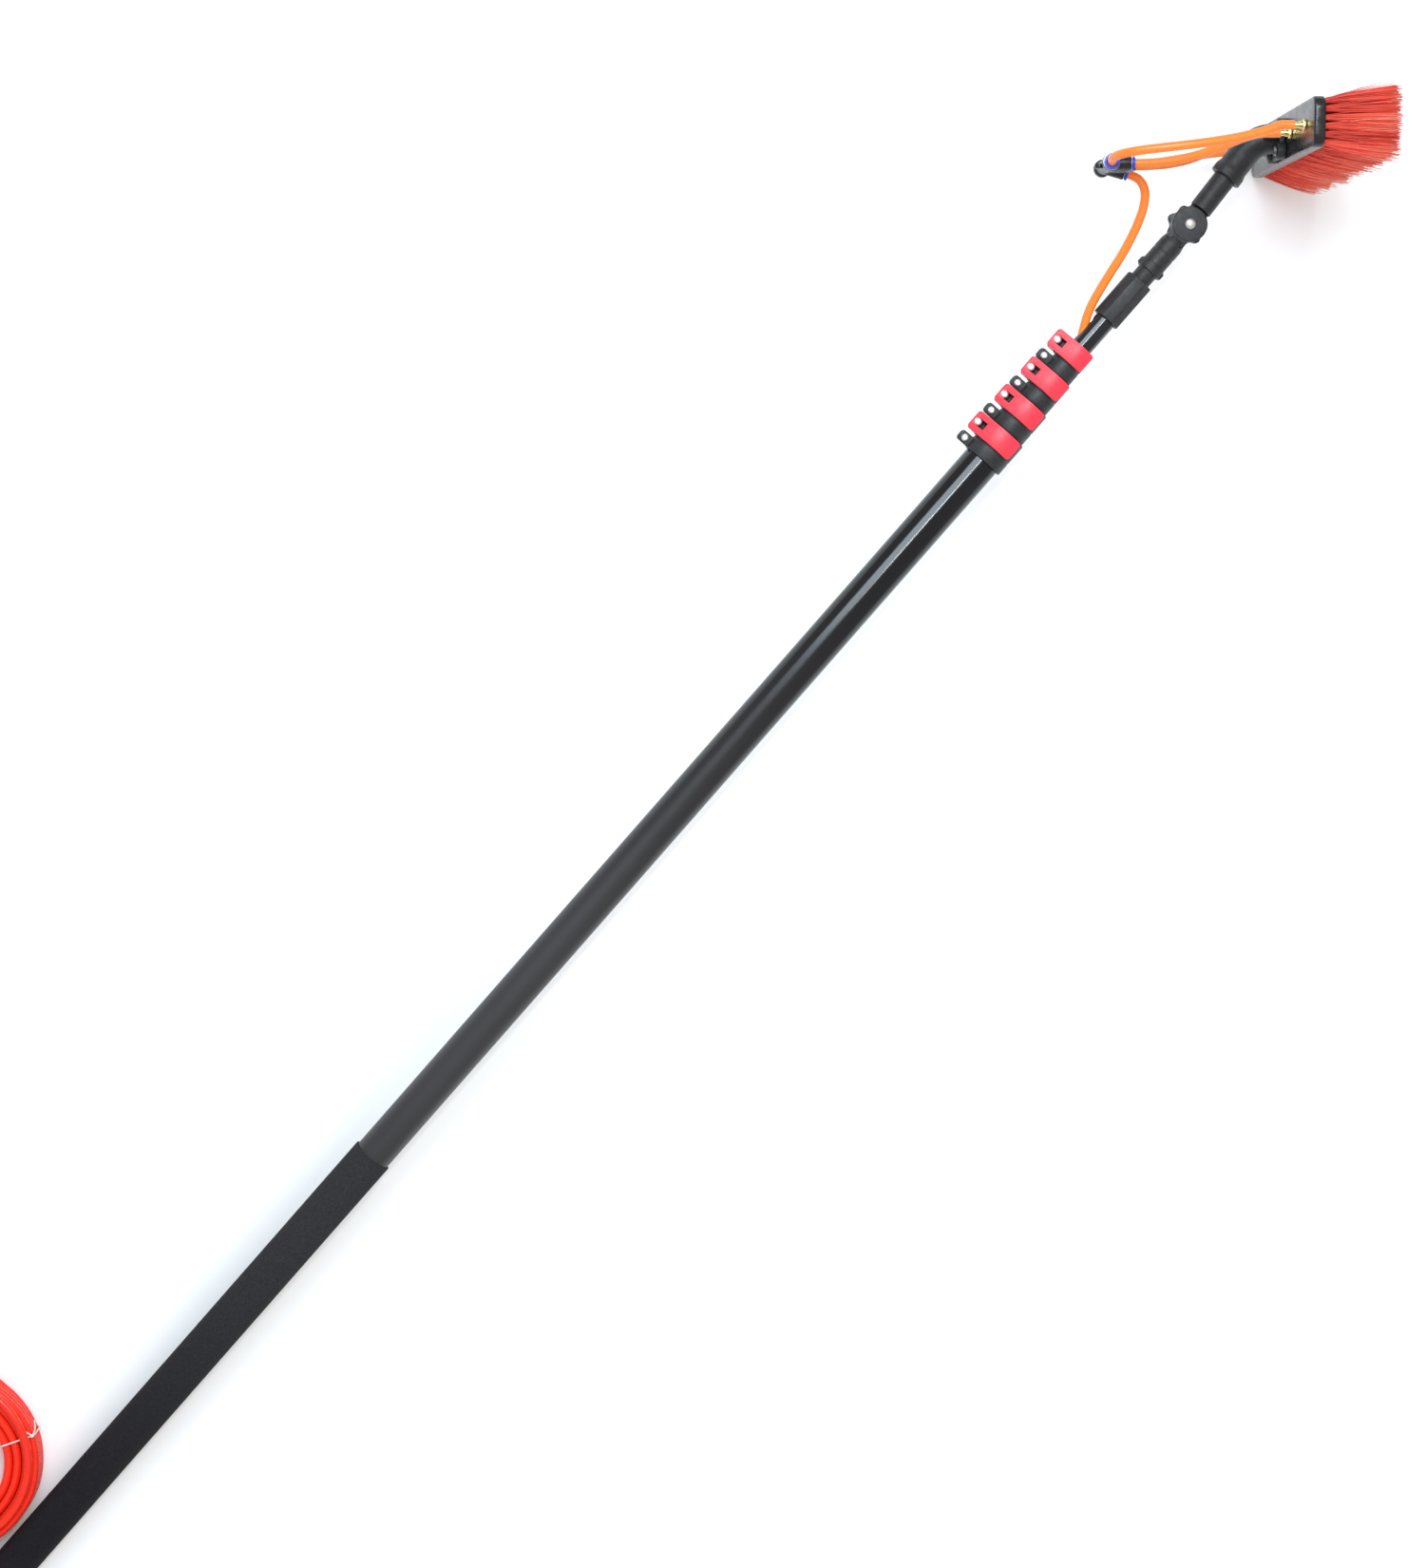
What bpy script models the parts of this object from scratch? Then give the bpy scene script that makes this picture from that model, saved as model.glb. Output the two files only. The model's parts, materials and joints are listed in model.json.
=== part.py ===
"""Water-fed window cleaning pole: five telescoping tubes, four cam clamps, a jointed brush and hoses.

The pole is drawn in its own frame: +X runs along the tubes from the bottom end to the head, +Y is the
side of the clamp lugs, and the brush stands along Z. One empty then lays the whole pole down: it rests
on its end cap and on the lower end of the brush, so the pole rises slightly towards the head. The spare
hose lies coiled beside the end cap.
"""

from math import acos, atan, atan2, ceil, cos, pi, radians, sin

import bmesh
import bpy
from mathutils import Matrix, Vector

MM = 0.001
NAME = "window_cleaning_pole"

# gaps between touching pieces
GAP = 0.3 * MM
FINE_GAP = 0.2 * MM

# tubes, from the outer (held) section to the inner (head) section
TUBE_RADII = [17.3 * MM, 15.5 * MM, 13.7 * MM, 11.9 * MM, 10.1 * MM]
TUBE_WALL = 1.3 * MM
TUBE_SIDES = 24
CAP_LENGTH = 6.0 * MM
CAP_RADIUS = 19.5 * MM
FIRST_BUSH = 34.0 * MM  # where the lowest glide bush starts
BUSH_PITCH = 26.0 * MM
BUSH_FLANGE = 10.0 * MM
BUSH_SPIGOT = 12.0 * MM

# grip
GRIP_RADIUS = 19.0 * MM
GRIP_END = 613.0 * MM

# clamps
CLAMP_START = 1460.0 * MM
CLAMP_PITCH = 33.8 * MM
CLAMP_LENGTH = 33.3 * MM
CLAMP_WALL = 2.6 * MM
REAR_BAND = 12.7 * MM
TUBE_IN_CLAMP = 12.4 * MM
LEVER_MIDDLE = 23.4 * MM
LEVER_HALF = 9.4 * MM
LEVER_THICK = 2.3 * MM
PIN_RADIUS = 2.2 * MM
PIN_HEIGHT = 5.2 * MM
CAM_RADIUS = 3.9 * MM
LEVER_LIFT = 3.5 * MM  # from the pin's centre up to the underside of the lever plate
LEVER_END = 5.0 * MM  # how far the plate runs on past the pin
SCREW_WINDOW = 3.7 * MM  # half the width of the window that the screw's head stands in
SCREW_SLIT = 1.4 * MM  # half the width of the slit that the screw's shank swings through

# head
KNUCKLE_X = 1739.0 * MM
HEAD_ANGLE = radians(-49.0)  # the way the bristles point, from the pole's axis
STEM_ANGLE = radians(3.5)  # the way the knuckle's upper arm points
TUBE_5_END = KNUCKLE_X - 80.0 * MM
EAR_RADIUS = 15.8 * MM
EAR_THICK = 8.8 * MM
ARM_RADIUS = 10.3 * MM
BOLT_RADIUS = 3.0 * MM
ARM_START = 16.6 * MM
ARM_END = 70.0 * MM
ELBOW_START = 52.0 * MM
ELBOW_RADIUS = 12.6 * MM
ELBOW_BORE_END = 72.0 * MM

# brush
BLOCK_LENGTH = 300.0 * MM
BLOCK_WIDTH = 43.2 * MM
BLOCK_THICK = 10.0 * MM
BLOCK_CORNER = 11.0 * MM
BLOCK_BACK = 81.3 * MM
BLOCK_U = 75.9 * MM
BRISTLE_TIP = 154.5 * MM
BRACKET_SCREWS = [(u * MM, z * MM) for u, z in ((8.5, 20.5), (8.5, -20.5), (-12.5, -20.5), (-12.5, 20.5))]
TIP_HALF_WIDTH = 30.5 * MM
TIP_HALF_LENGTH = 152.2 * MM
NIPPLE_Z = [115.0 * MM, 50.0 * MM, -50.0 * MM, -115.0 * MM]
NIPPLE_STEM = 13.0 * MM

# hoses
HOSE_RADIUS = 4.0 * MM
MANIFOLD_AT = (-80.0 * MM, 48.0 * MM, 44.0 * MM)  # in the brush's frame
SLOT_START = 1598.0 * MM
SLOT_END = 1625.0 * MM
SLOT_HALF_WIDTH = 4.7 * MM

# coil, in the floor's frame
COIL_MIDDLE = (127.8 * MM, 108.6 * MM)
COIL_OUTER = 86.0 * MM
COIL_INNER = 50.0 * MM
COIL_HEIGHT = 32.4 * MM

# how the pole lies: on the cap's rim and on the low end of the brush block
REST_X = KNUCKLE_X + 102.7 * MM
LIE_ANGLE = atan((BLOCK_LENGTH / 2 - CAP_RADIUS) / REST_X)


# ---------------------------------------------------------------- scene, materials and helpers


def clear_scene():
    for old in list(bpy.data.objects):
        bpy.data.objects.remove(old, do_unlink=True)


def new_collection(name):
    made = bpy.data.collections.new(name)
    bpy.context.scene.collection.children.link(made)
    return made


def material(name, colour, roughness, metallic=0.0):
    made = bpy.data.materials.new(name)
    made.use_nodes = True
    shader = made.node_tree.nodes["Principled BSDF"]
    shader.inputs["Base Color"].default_value = (*colour, 1.0)
    shader.inputs["Roughness"].default_value = roughness
    shader.inputs["Metallic"].default_value = metallic
    return made


clear_scene()
PARTS = new_collection(NAME)
CUTTERS = new_collection("cutters")

TUBE_BLACK = ((0.02, 0.02, 0.022), 0.25, 0.0)
GRIP_GREY = ((0.05, 0.05, 0.055), 0.9, 0.0)
PLASTIC = ((0.018, 0.018, 0.02), 0.55, 0.0)
LEVER_RED = ((0.75, 0.04, 0.07), 0.4, 0.0)
STEEL = ((0.6, 0.6, 0.6), 0.3, 1.0)
BRASS = ((0.7, 0.48, 0.2), 0.35, 1.0)
BLUE = ((0.04, 0.06, 0.4), 0.35, 0.0)
ORANGE = ((0.95, 0.16, 0.03), 0.35, 0.0)
BRISTLE = ((0.7, 0.05, 0.02), 0.6, 0.0)
RUBBER = ((0.02, 0.02, 0.02), 0.8, 0.0)


def frame_at(name, parent=None, location=(0, 0, 0), rotation=(0, 0, 0)):
    """An empty that carries the pieces of one assembly."""
    empty = bpy.data.objects.new(name, None)
    PARTS.objects.link(empty)
    empty.parent = parent
    empty.location = location
    empty.rotation_euler = rotation
    return empty


def place(obj, parent, location=(0, 0, 0), rotation=(0, 0, 0)):
    obj.parent = parent
    obj.location = location
    obj.rotation_euler = rotation
    return obj


def add_part(name, mesh, finish, parent, location=(0, 0, 0), rotation=(0, 0, 0)):
    """One named sub-part, with its own material."""
    obj = bpy.data.objects.new(name, mesh)
    PARTS.objects.link(obj)
    mesh.materials.clear()
    mesh.materials.append(material(name, *finish))
    return place(obj, parent, location, rotation)


def smooth(mesh, angle=35.0):
    mesh.shade_smooth()
    mesh.set_sharp_from_angle(angle=radians(angle))
    return mesh


def mesh_from(obj):
    """The evaluated mesh of a temporary object, its caps welded; the object is removed."""
    bpy.context.scene.collection.objects.link(obj)
    graph = bpy.context.evaluated_depsgraph_get()
    mesh = bpy.data.meshes.new_from_object(obj.evaluated_get(graph), depsgraph=graph)
    bpy.data.objects.remove(obj, do_unlink=True)
    work = bmesh.new()
    work.from_mesh(mesh)
    bmesh.ops.remove_doubles(work, verts=work.verts, dist=0.000002)
    bmesh.ops.recalc_face_normals(work, faces=work.faces)
    work.to_mesh(mesh)
    work.free()
    return mesh


def turned(profile, sides):
    """A profile of (radius, height) points turned about Z: down the outer side, then up the inner side."""
    mesh = bpy.data.meshes.new("profile")
    count = len(profile)
    closed = all(radius > 0 for radius, _ in profile)
    edges = [(i, (i + 1) % count) for i in range(count if closed else count - 1)]
    mesh.from_pydata([(radius, 0.0, height) for radius, height in profile], edges, [])
    obj = bpy.data.objects.new("turned", mesh)
    screw = obj.modifiers.new("turn", "SCREW")
    screw.steps = screw.render_steps = sides
    screw.use_merge_vertices = True
    screw.merge_threshold = 0.000002
    return smooth(mesh_from(obj))


def ring(outer, inner, low, high, sides=32):
    return turned([(outer, high), (outer, low), (inner, low), (inner, high)], sides)


def rod(radius, low, high, sides=24, chamfer=0.0):
    """A solid cylinder along Z, from low to high."""
    if chamfer:
        edge = radius - chamfer
        side = [(edge, high), (radius, high - chamfer), (radius, low + chamfer), (edge, low)]
    else:
        side = [(radius, high), (radius, low)]
    return turned([(0.0, high), *side, (0.0, low)], sides)


def box(low, high):
    """A box between two corners."""
    work = bmesh.new()
    bmesh.ops.create_cube(work, size=1.0)
    size = [b - a for a, b in zip(low, high)]
    middle = [(a + b) / 2 for a, b in zip(low, high)]
    bmesh.ops.scale(work, vec=size, verts=work.verts)
    bmesh.ops.translate(work, vec=middle, verts=work.verts)
    mesh = bpy.data.meshes.new("box")
    work.to_mesh(mesh)
    work.free()
    return mesh


def prism(outline, low, high):
    """A flat outline of (x, y) points, as a solid between two heights along Z."""
    curve = bpy.data.curves.new("outline", "CURVE")
    curve.dimensions = "2D"
    curve.fill_mode = "BOTH"
    curve.extrude = (high - low) / 2
    spline = curve.splines.new("POLY")
    spline.points.add(len(outline) - 1)
    for point, (x, y) in zip(spline.points, outline):
        point.co = (x, y, 0.0, 1.0)
    spline.use_cyclic_u = True
    mesh = mesh_from(bpy.data.objects.new("outline", curve))
    mesh.transform(Matrix.Translation((0, 0, (low + high) / 2)))
    return mesh


def moved(mesh, location=(0, 0, 0), axis=None):
    """The mesh with its own Z turned onto an axis, then moved."""
    turn = Vector(axis).normalized().to_track_quat("Z", "Y").to_matrix().to_4x4() if axis else Matrix()
    mesh.transform(Matrix.Translation(location) @ turn)
    return mesh


def tool(mesh, owner):
    """A helper solid that lies in its owner's own frame and is left out of the object."""
    obj = bpy.data.objects.new("tool", mesh)
    CUTTERS.objects.link(obj)
    obj.parent = owner
    obj.hide_render = True
    obj.display_type = "WIRE"
    return obj


def combine(owner, operation, meshes):
    for mesh in meshes:
        change = owner.modifiers.new(operation.lower(), "BOOLEAN")
        change.operation = operation
        change.solver = "EXACT"
        change.object = tool(mesh, owner)


def join(owner, *meshes):
    combine(owner, "UNION", meshes)


def cut(owner, *meshes):
    combine(owner, "DIFFERENCE", meshes)


def bevel(owner, width, segments=2, angle=40.0):
    change = owner.modifiers.new("bevel", "BEVEL")
    change.width = width
    change.segments = segments
    change.limit_method = "ANGLE"
    change.angle_limit = radians(angle)


def smooth_route(points, spacing):
    """Evenly spaced points on one smooth curve through the route's own points."""
    route = [Vector(p) for p in points]
    ends = [2 * route[0] - route[1], *route, 2 * route[-1] - route[-2]]
    fine = []
    for a, b, c, d in zip(ends, ends[1:], ends[2:], ends[3:]):
        for step in range(24):
            t = step / 24
            bend = 2 * a - 5 * b + 4 * c - d
            twist = 3 * b - a - 3 * c + d
            fine.append(0.5 * (2 * b + (c - a) * t + bend * t**2 + twist * t**3))
    fine.append(route[-1])
    lengths = [0.0]
    for a, b in zip(fine, fine[1:]):
        lengths.append(lengths[-1] + (b - a).length)
    count = max(2, ceil(lengths[-1] / spacing))
    even, k = [], 0
    for i in range(count + 1):
        want = lengths[-1] * i / count
        while k < len(fine) - 2 and lengths[k + 1] < want:
            k += 1
        share = (want - lengths[k]) / (lengths[k + 1] - lengths[k])
        even.append(fine[k].lerp(fine[k + 1], min(max(share, 0.0), 1.0)))
    return even


def rod_along(points, radius, resolution=2):
    """A curve with a round section and closed ends."""
    curve = bpy.data.curves.new("route", "CURVE")
    curve.dimensions = "3D"
    curve.bevel_depth = radius
    curve.bevel_resolution = resolution
    curve.use_fill_caps = True
    spline = curve.splines.new("POLY")
    spline.points.add(len(points) - 1)
    for point, at in zip(spline.points, points):
        point.co = (*at, 1.0)
        point.radius = 1.0
    return curve


def hose(name, points, parent, spacing=2.5 * 2 * HOSE_RADIUS, finish=ORANGE):
    curve = rod_along(smooth_route(points, spacing), HOSE_RADIUS)
    obj = bpy.data.objects.new(name, curve)
    PARTS.objects.link(obj)
    curve.materials.append(material(name, *finish))
    obj.parent = parent
    return obj


def arc(middle, radius, first, last, steps):
    """Points on an arc, its angles in degrees."""
    angles = [radians(first + (last - first) * i / steps) for i in range(steps + 1)]
    return [(middle[0] + radius * cos(a), middle[1] + radius * sin(a)) for a in angles]


def rounded_rectangle(half_x, half_y, corner, steps=6):
    points = []
    for sign_x, sign_y, first in ((1, 1, 0), (-1, 1, 90), (-1, -1, 180), (1, -1, 270)):
        middle = (sign_x * (half_x - corner), sign_y * (half_y - corner))
        points += arc(middle, corner, first, first + 90, steps)
    return points


ALONG = (0, pi / 2, 0)  # turns a piece's own Z onto the pole's axis
# turns an outline drawn as (y, z) across the pole, so that its own Z runs along the pole
ACROSS = Matrix(((0, 0, 1, 0), (1, 0, 0, 0), (0, 1, 0, 0), (0, 0, 0, 1)))


# ---------------------------------------------------------------- tubes, bushes, grip and end cap


def tube_ends(k):
    """Where section k (1 to 5) starts and ends along the pole."""
    start = CAP_LENGTH + GAP if k == 1 else FIRST_BUSH + BUSH_PITCH * (k - 2) + BUSH_FLANGE
    end = TUBE_5_END if k == 5 else CLAMP_START + CLAMP_PITCH * (k - 1) + TUBE_IN_CLAMP
    return start, end


def make_tubes(pole):
    for k, radius in enumerate(TUBE_RADII, 1):
        start, end = tube_ends(k)
        mesh = ring(radius, radius - TUBE_WALL, start, end, TUBE_SIDES)
        tube = add_part(f"tube_section_{k}", mesh, TUBE_BLACK, pole, (0, 0, 0), ALONG)
        if k == 5:
            cut_hose_slot(tube, radius)


def cut_hose_slot(tube, radius):
    """A long round-ended slot on the +Y side of the head section; the hose leaves the pole through it."""
    half = (SLOT_END - SLOT_START) / 2
    outline = rounded_rectangle(SLOT_HALF_WIDTH, half, SLOT_HALF_WIDTH - 0.01 * MM, 8)
    slot = prism(outline, radius - 4 * MM, radius + 4 * MM)
    # the outline's own Y runs along the pole and its own Z points out on the +Y side
    turn = Matrix(((-1, 0, 0, 0), (0, 0, 1, 0), (0, 1, 0, (SLOT_START + SLOT_END) / 2), (0, 0, 0, 1)))
    slot.transform(turn)
    cut(tube, slot)


def make_bushes(pole):
    """Glide bushes: a flange that runs in the outer tube and a spigot in the inner tube's end."""
    for k in range(2, 6):
        start, _ = tube_ends(k)
        flange = TUBE_RADII[k - 2] - TUBE_WALL - FINE_GAP
        spigot = TUBE_RADII[k - 1] - TUBE_WALL - FINE_GAP
        bore = spigot - 2.0 * MM
        low, step, high = start - BUSH_FLANGE, start - GAP, start + BUSH_SPIGOT
        outside = [(spigot, high), (spigot, step), (flange, step), (flange, low)]
        mesh = turned([*outside, (bore, low), (bore, high)], 20)
        add_part(f"glide_bush_{k}", mesh, PLASTIC, pole, (0, 0, 0), ALONG)


def make_grip(pole):
    low, high = CAP_LENGTH + GAP, GRIP_END
    inner = TUBE_RADII[0] + FINE_GAP
    edge = 0.6 * MM
    outside = [(GRIP_RADIUS - edge, high), (GRIP_RADIUS, high - edge), (GRIP_RADIUS, low)]
    profile = [*outside, (inner, low), (inner, high)]
    add_part("grip_sleeve", turned(profile, TUBE_SIDES), GRIP_GREY, pole, (0, 0, 0), ALONG)


def make_end_cap(pole):
    """The cap's plug fills the tube's end; the grommet's lip sits in a recess, so the foot stays flat."""
    plug = TUBE_RADII[0] - TUBE_WALL - GAP
    bore, recess, depth = 6.8 * MM, 9.0 * MM, 2.8 * MM
    edge = 1.0 * MM
    profile = [
        (plug, 26 * MM),
        (plug, CAP_LENGTH),
        (CAP_RADIUS, CAP_LENGTH),
        (CAP_RADIUS, edge),
        (CAP_RADIUS - edge, 0.0),
        (recess, 0.0),
        (recess, depth),
        (bore, depth),
        (bore, 26 * MM),
    ]
    add_part("end_cap", turned(profile, TUBE_SIDES), RUBBER, pole, (0, 0, 0), ALONG)
    lip, neck, hole = recess - 0.4 * MM, bore - GAP, HOSE_RADIUS + GAP
    high, low = depth - GAP, GAP
    profile = [(neck, 9 * MM), (neck, high), (lip, high), (lip, low), (hole, low), (hole, 9 * MM)]
    add_part("hose_grommet", turned(profile, 16), RUBBER, pole, (0, 0, 0), ALONG)


# ---------------------------------------------------------------- cam clamps


def clamp_sizes(k):
    """(tube radius, distance of the lever pin from the pole's axis, reach of the rear lug) of clamp k."""
    radius = TUBE_RADII[k - 1]
    pin = 26.3 * MM + 0.917 * (radius - TUBE_RADII[0])
    return radius, pin, pin + 5.6 * MM


def make_collar(k, clamp):
    """A stepped ring: its rear band holds tube k, its split front band grips tube k + 1."""
    radius, pin, reach = clamp_sizes(k)
    outer = radius + CLAMP_WALL
    inner = TUBE_RADII[k] + GAP
    profile = [
        (outer, CLAMP_LENGTH),
        (outer, 0.0),
        (radius + FINE_GAP, 0.0),
        (radius + FINE_GAP, REAR_BAND),
        (inner, REAR_BAND),
        (inner, CLAMP_LENGTH),
    ]
    mesh = turned(profile, TUBE_SIDES)
    mesh.transform(Matrix.Rotation(pi / 2, 4, "Y"))
    collar = add_part(f"clamp_{k}_collar", mesh, PLASTIC, clamp)
    low, high = LEVER_MIDDLE - LEVER_HALF, LEVER_MIDDLE + LEVER_HALF
    root = radius + 0.7 * MM
    ear_top = PIN_HEIGHT - CAM_RADIUS - GAP
    # the ears' outer top edge is cut back, so that the lever's end swings past it
    ears = prism(
        [
            (root, -7.8 * MM),
            (pin + 2.0 * MM, -7.8 * MM),
            (pin + 2.0 * MM, ear_top - 1.9 * MM),
            (pin + 0.2 * MM, ear_top),
            (root, ear_top),
        ],
        low + 0.4 * MM,
        high - 0.4 * MM,
    )
    ears.transform(ACROSS)
    join(
        collar,
        box((0.4 * MM, root, -5.1 * MM), (10.4 * MM, reach, 5.1 * MM)),
        box((low, root - 1.5 * MM, -8.2 * MM), (high, pin - 5.6 * MM, 6.1 * MM)),
        ears,
    )
    split_start, split_end = REAR_BAND + 0.5 * MM, CLAMP_LENGTH + MM
    cut(
        collar,
        box((split_start, TUBE_RADII[k] - 3 * MM, -4.4 * MM), (split_end, reach + 4 * MM, -2.9 * MM)),
        box((-MM, radius - 2 * MM, -0.7 * MM), (REAR_BAND - 1.2 * MM, reach + 4 * MM, 0.7 * MM)),
        moved(rod(1.5 * MM, -12 * MM, 9 * MM, 10), (LEVER_MIDDLE, pin, 0)),
        moved(rod(1.6 * MM, -9 * MM, 9 * MM, 10), (5.4 * MM, pin, 0)),
    )


def lever_outline(k):
    """The lever's section across the pole, as (y, z) about its pin: finger lip, curved plate and cam."""
    radius, pin, _ = clamp_sizes(k)
    inner = radius + CLAMP_WALL + 0.5 * MM
    outer = inner + LEVER_THICK
    # the plate leaves the arc on a straight line that passes over the pin
    middle = Vector((pin, PIN_HEIGHT))
    over = Vector((pin, PIN_HEIGHT + LEVER_LIFT))
    lean = atan2(over.x, over.y) - acos(inner / over.length)
    slope = Vector((cos(lean), -sin(lean)))
    rise = Vector((sin(lean), cos(lean))) * LEVER_THICK
    first, last = 90 - lean * 180 / pi, 90 + 29.0
    tip = Vector((cos(radians(last)), sin(radians(last))))
    away = Vector((-tip.y, tip.x)) * 5.5 * MM
    points = [over + slope * LEVER_END, over + slope * LEVER_END + rise]
    points += [Vector(p) for p in arc((0, 0), outer, first, last, 9)]
    points += [tip * (outer + 0.3 * MM) + away * 0.6, tip * (outer + 0.9 * MM) + away]
    points += [tip * (inner + 1.2 * MM) + away]
    points += [Vector(p) for p in arc((0, 0), inner, last, first, 9)]
    points += [middle + Vector((-CAM_RADIUS, LEVER_LIFT))]
    points += [Vector(p) for p in arc(middle, CAM_RADIUS, 190, 350, 8)]
    return [p - middle for p in points]


def make_lever(k, clamp):
    """The cam lever and the barrel it turns on; the tension screw passes through both."""
    _, pin, _ = clamp_sizes(k)
    mesh = prism([tuple(p) for p in lever_outline(k)], -LEVER_HALF, LEVER_HALF)
    mesh.transform(ACROSS)
    at = (LEVER_MIDDLE, pin, PIN_HEIGHT)
    lever = add_part(f"clamp_{k}_lever", smooth(mesh), LEVER_RED, clamp, at)
    cut(
        lever,
        box((-SCREW_WINDOW, -6.4 * MM, -8 * MM), (SCREW_WINDOW, SCREW_WINDOW, 14 * MM)),
        box((-SCREW_SLIT, 0, -9 * MM), (SCREW_SLIT, 12 * MM, 1.3 * MM)),
        moved(rod(PIN_RADIUS + 0.1 * MM, -LEVER_HALF - MM, LEVER_HALF + MM, 14), (0, 0, 0), (1, 0, 0)),
    )
    pin_rod = moved(rod(PIN_RADIUS, -LEVER_HALF, LEVER_HALF, 14), axis=(1, 0, 0))
    barrel = add_part(f"clamp_{k}_hinge_pin", pin_rod, STEEL, clamp, at)
    cut(barrel, rod(1.4 * MM, -5 * MM, 5 * MM, 10))


def make_tension_screw(k, clamp):
    """The screw that the cam pulls on, with its nut under the lower ear."""
    _, pin, _ = clamp_sizes(k)
    head, shank, nut = 3.5 * MM, 1.1 * MM, 3.0 * MM
    low, high = PIN_HEIGHT + PIN_RADIUS + 0.1 * MM, PIN_HEIGHT + 5.4 * MM
    profile = [
        (0.0, high),
        (head - 0.6 * MM, high),
        (head, high - 0.6 * MM),
        (head, low),
        (shank, low),
        (shank, -8.1 * MM),
        (nut, -8.1 * MM),
        (nut, -10.6 * MM),
        (0.0, -10.6 * MM),
    ]
    add_part(f"clamp_{k}_tension_screw", turned(profile, 12), STEEL, clamp, (LEVER_MIDDLE, pin, 0))


def make_clamps(pole):
    for k in range(1, 5):
        clamp = frame_at(f"clamp_{k}", pole, (CLAMP_START + CLAMP_PITCH * (k - 1), 0, 0))
        make_collar(k, clamp)
        make_lever(k, clamp)
        make_tension_screw(k, clamp)


# ---------------------------------------------------------------- knuckle


def make_sleeve_nut(pole):
    """The eight-sided nut that locks the head on the last tube."""
    across = 12.7 * MM
    corner = across / cos(pi / 8)
    outline = [(corner * cos(pi / 8 + pi / 4 * i), corner * sin(pi / 8 + pi / 4 * i)) for i in range(8)]
    mesh = prism(outline, -23 * MM, 23 * MM)
    nut = add_part("head_lock_nut", mesh, PLASTIC, pole, (KNUCKLE_X - 89 * MM, 0, 0), ALONG)
    bevel(nut, 1.0 * MM, 1, 60)
    cut(nut, rod(TUBE_RADII[4] + GAP, -30 * MM, 30 * MM, 24))


def make_lower_knuckle(pole):
    knuckle = frame_at("knuckle", pole, (KNUCKLE_X, 0, 0))
    stem = TUBE_RADII[4] - TUBE_WALL - FINE_GAP
    profile = [
        (0.0, -ARM_START),
        (9.6 * MM, -ARM_START),
        (11.2 * MM, -24 * MM),
        (11.2 * MM, -47 * MM),
        (11.9 * MM, -47 * MM),
        (11.9 * MM, -55 * MM),
        (9.7 * MM, -55 * MM),
        (9.7 * MM, -79.6 * MM),
        (stem, -79.6 * MM),
        (stem, -104 * MM),
        (stem - MM, -105 * MM),
        (0.0, -105 * MM),
    ]
    mesh = turned(profile, 24)
    mesh.transform(Matrix.Rotation(pi / 2, 4, "Y"))
    lower = add_part("knuckle_lower", mesh, PLASTIC, knuckle)
    join(
        lower,
        rod(EAR_RADIUS, 0.2 * MM, EAR_THICK, 24, 0.8 * MM),
        box((-21 * MM, -9.2 * MM, 0.2 * MM), (-6 * MM, 9.2 * MM, EAR_THICK - 0.4 * MM)),
        box((-54 * MM, -13.1 * MM, -3 * MM), (-48 * MM, 13.1 * MM, 3 * MM)),
    )
    cut(lower, rod(3.3 * MM, -2 * MM, 12 * MM, 12))
    return knuckle


def make_upper_knuckle(knuckle):
    """The arm that tilts, with its ear under the lower body's ear. Its own X runs along the arm."""
    mesh = turned([(0.0, ARM_END), (ARM_RADIUS, ARM_END), (ARM_RADIUS, ARM_START), (0.0, ARM_START)], 24)
    mesh.transform(Matrix.Rotation(pi / 2, 4, "Y"))
    upper = add_part("knuckle_upper", mesh, PLASTIC, knuckle, (0, 0, 0), (0, 0, STEM_ANGLE))
    join(
        upper,
        rod(EAR_RADIUS - 0.3 * MM, -EAR_THICK, -0.2 * MM, 24, 0.8 * MM),
        box((6 * MM, -9.0 * MM, -EAR_THICK + 0.4 * MM), (21 * MM, 9.0 * MM, -0.2 * MM)),
    )
    cut(upper, rod(3.3 * MM, -12 * MM, 2 * MM, 12))


def make_knuckle_bolt(knuckle):
    """A dome-headed bolt on top; its thread stands out of the knob below."""
    shank, head = BOLT_RADIUS, 4.8 * MM
    top = EAR_THICK + GAP
    dome = [(head * cos(radians(a)), top + 0.9 * MM + 2.2 * MM * sin(radians(a))) for a in (75, 50, 25, 0)]
    low = -21.5 * MM
    profile = [(0.0, top + 3.1 * MM), *dome, (head, top), (shank, top), (shank, low), (0.0, low)]
    add_part("knuckle_bolt", turned(profile, 12), STEEL, knuckle)


def make_star_knob(knuckle):
    lobes, middle, wave = 7, 16.7 * MM, 1.6 * MM
    steps = 28
    outline = []
    for i in range(steps):
        a = 2 * pi * i / steps
        reach = middle + wave * cos(lobes * a)
        outline.append((reach * cos(a), reach * sin(a)))
    high = -ARM_RADIUS - GAP
    knob = add_part("star_knob", smooth(prism(outline, high - 7.5 * MM, high)), PLASTIC, knuckle)
    join(knob, rod(7.5 * MM, high - 9.6 * MM, -EAR_THICK - GAP, 16, 0.6 * MM))
    cut(knob, rod(BOLT_RADIUS + GAP, -24 * MM, 0.0, 12))


# ---------------------------------------------------------------- brush head


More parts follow.
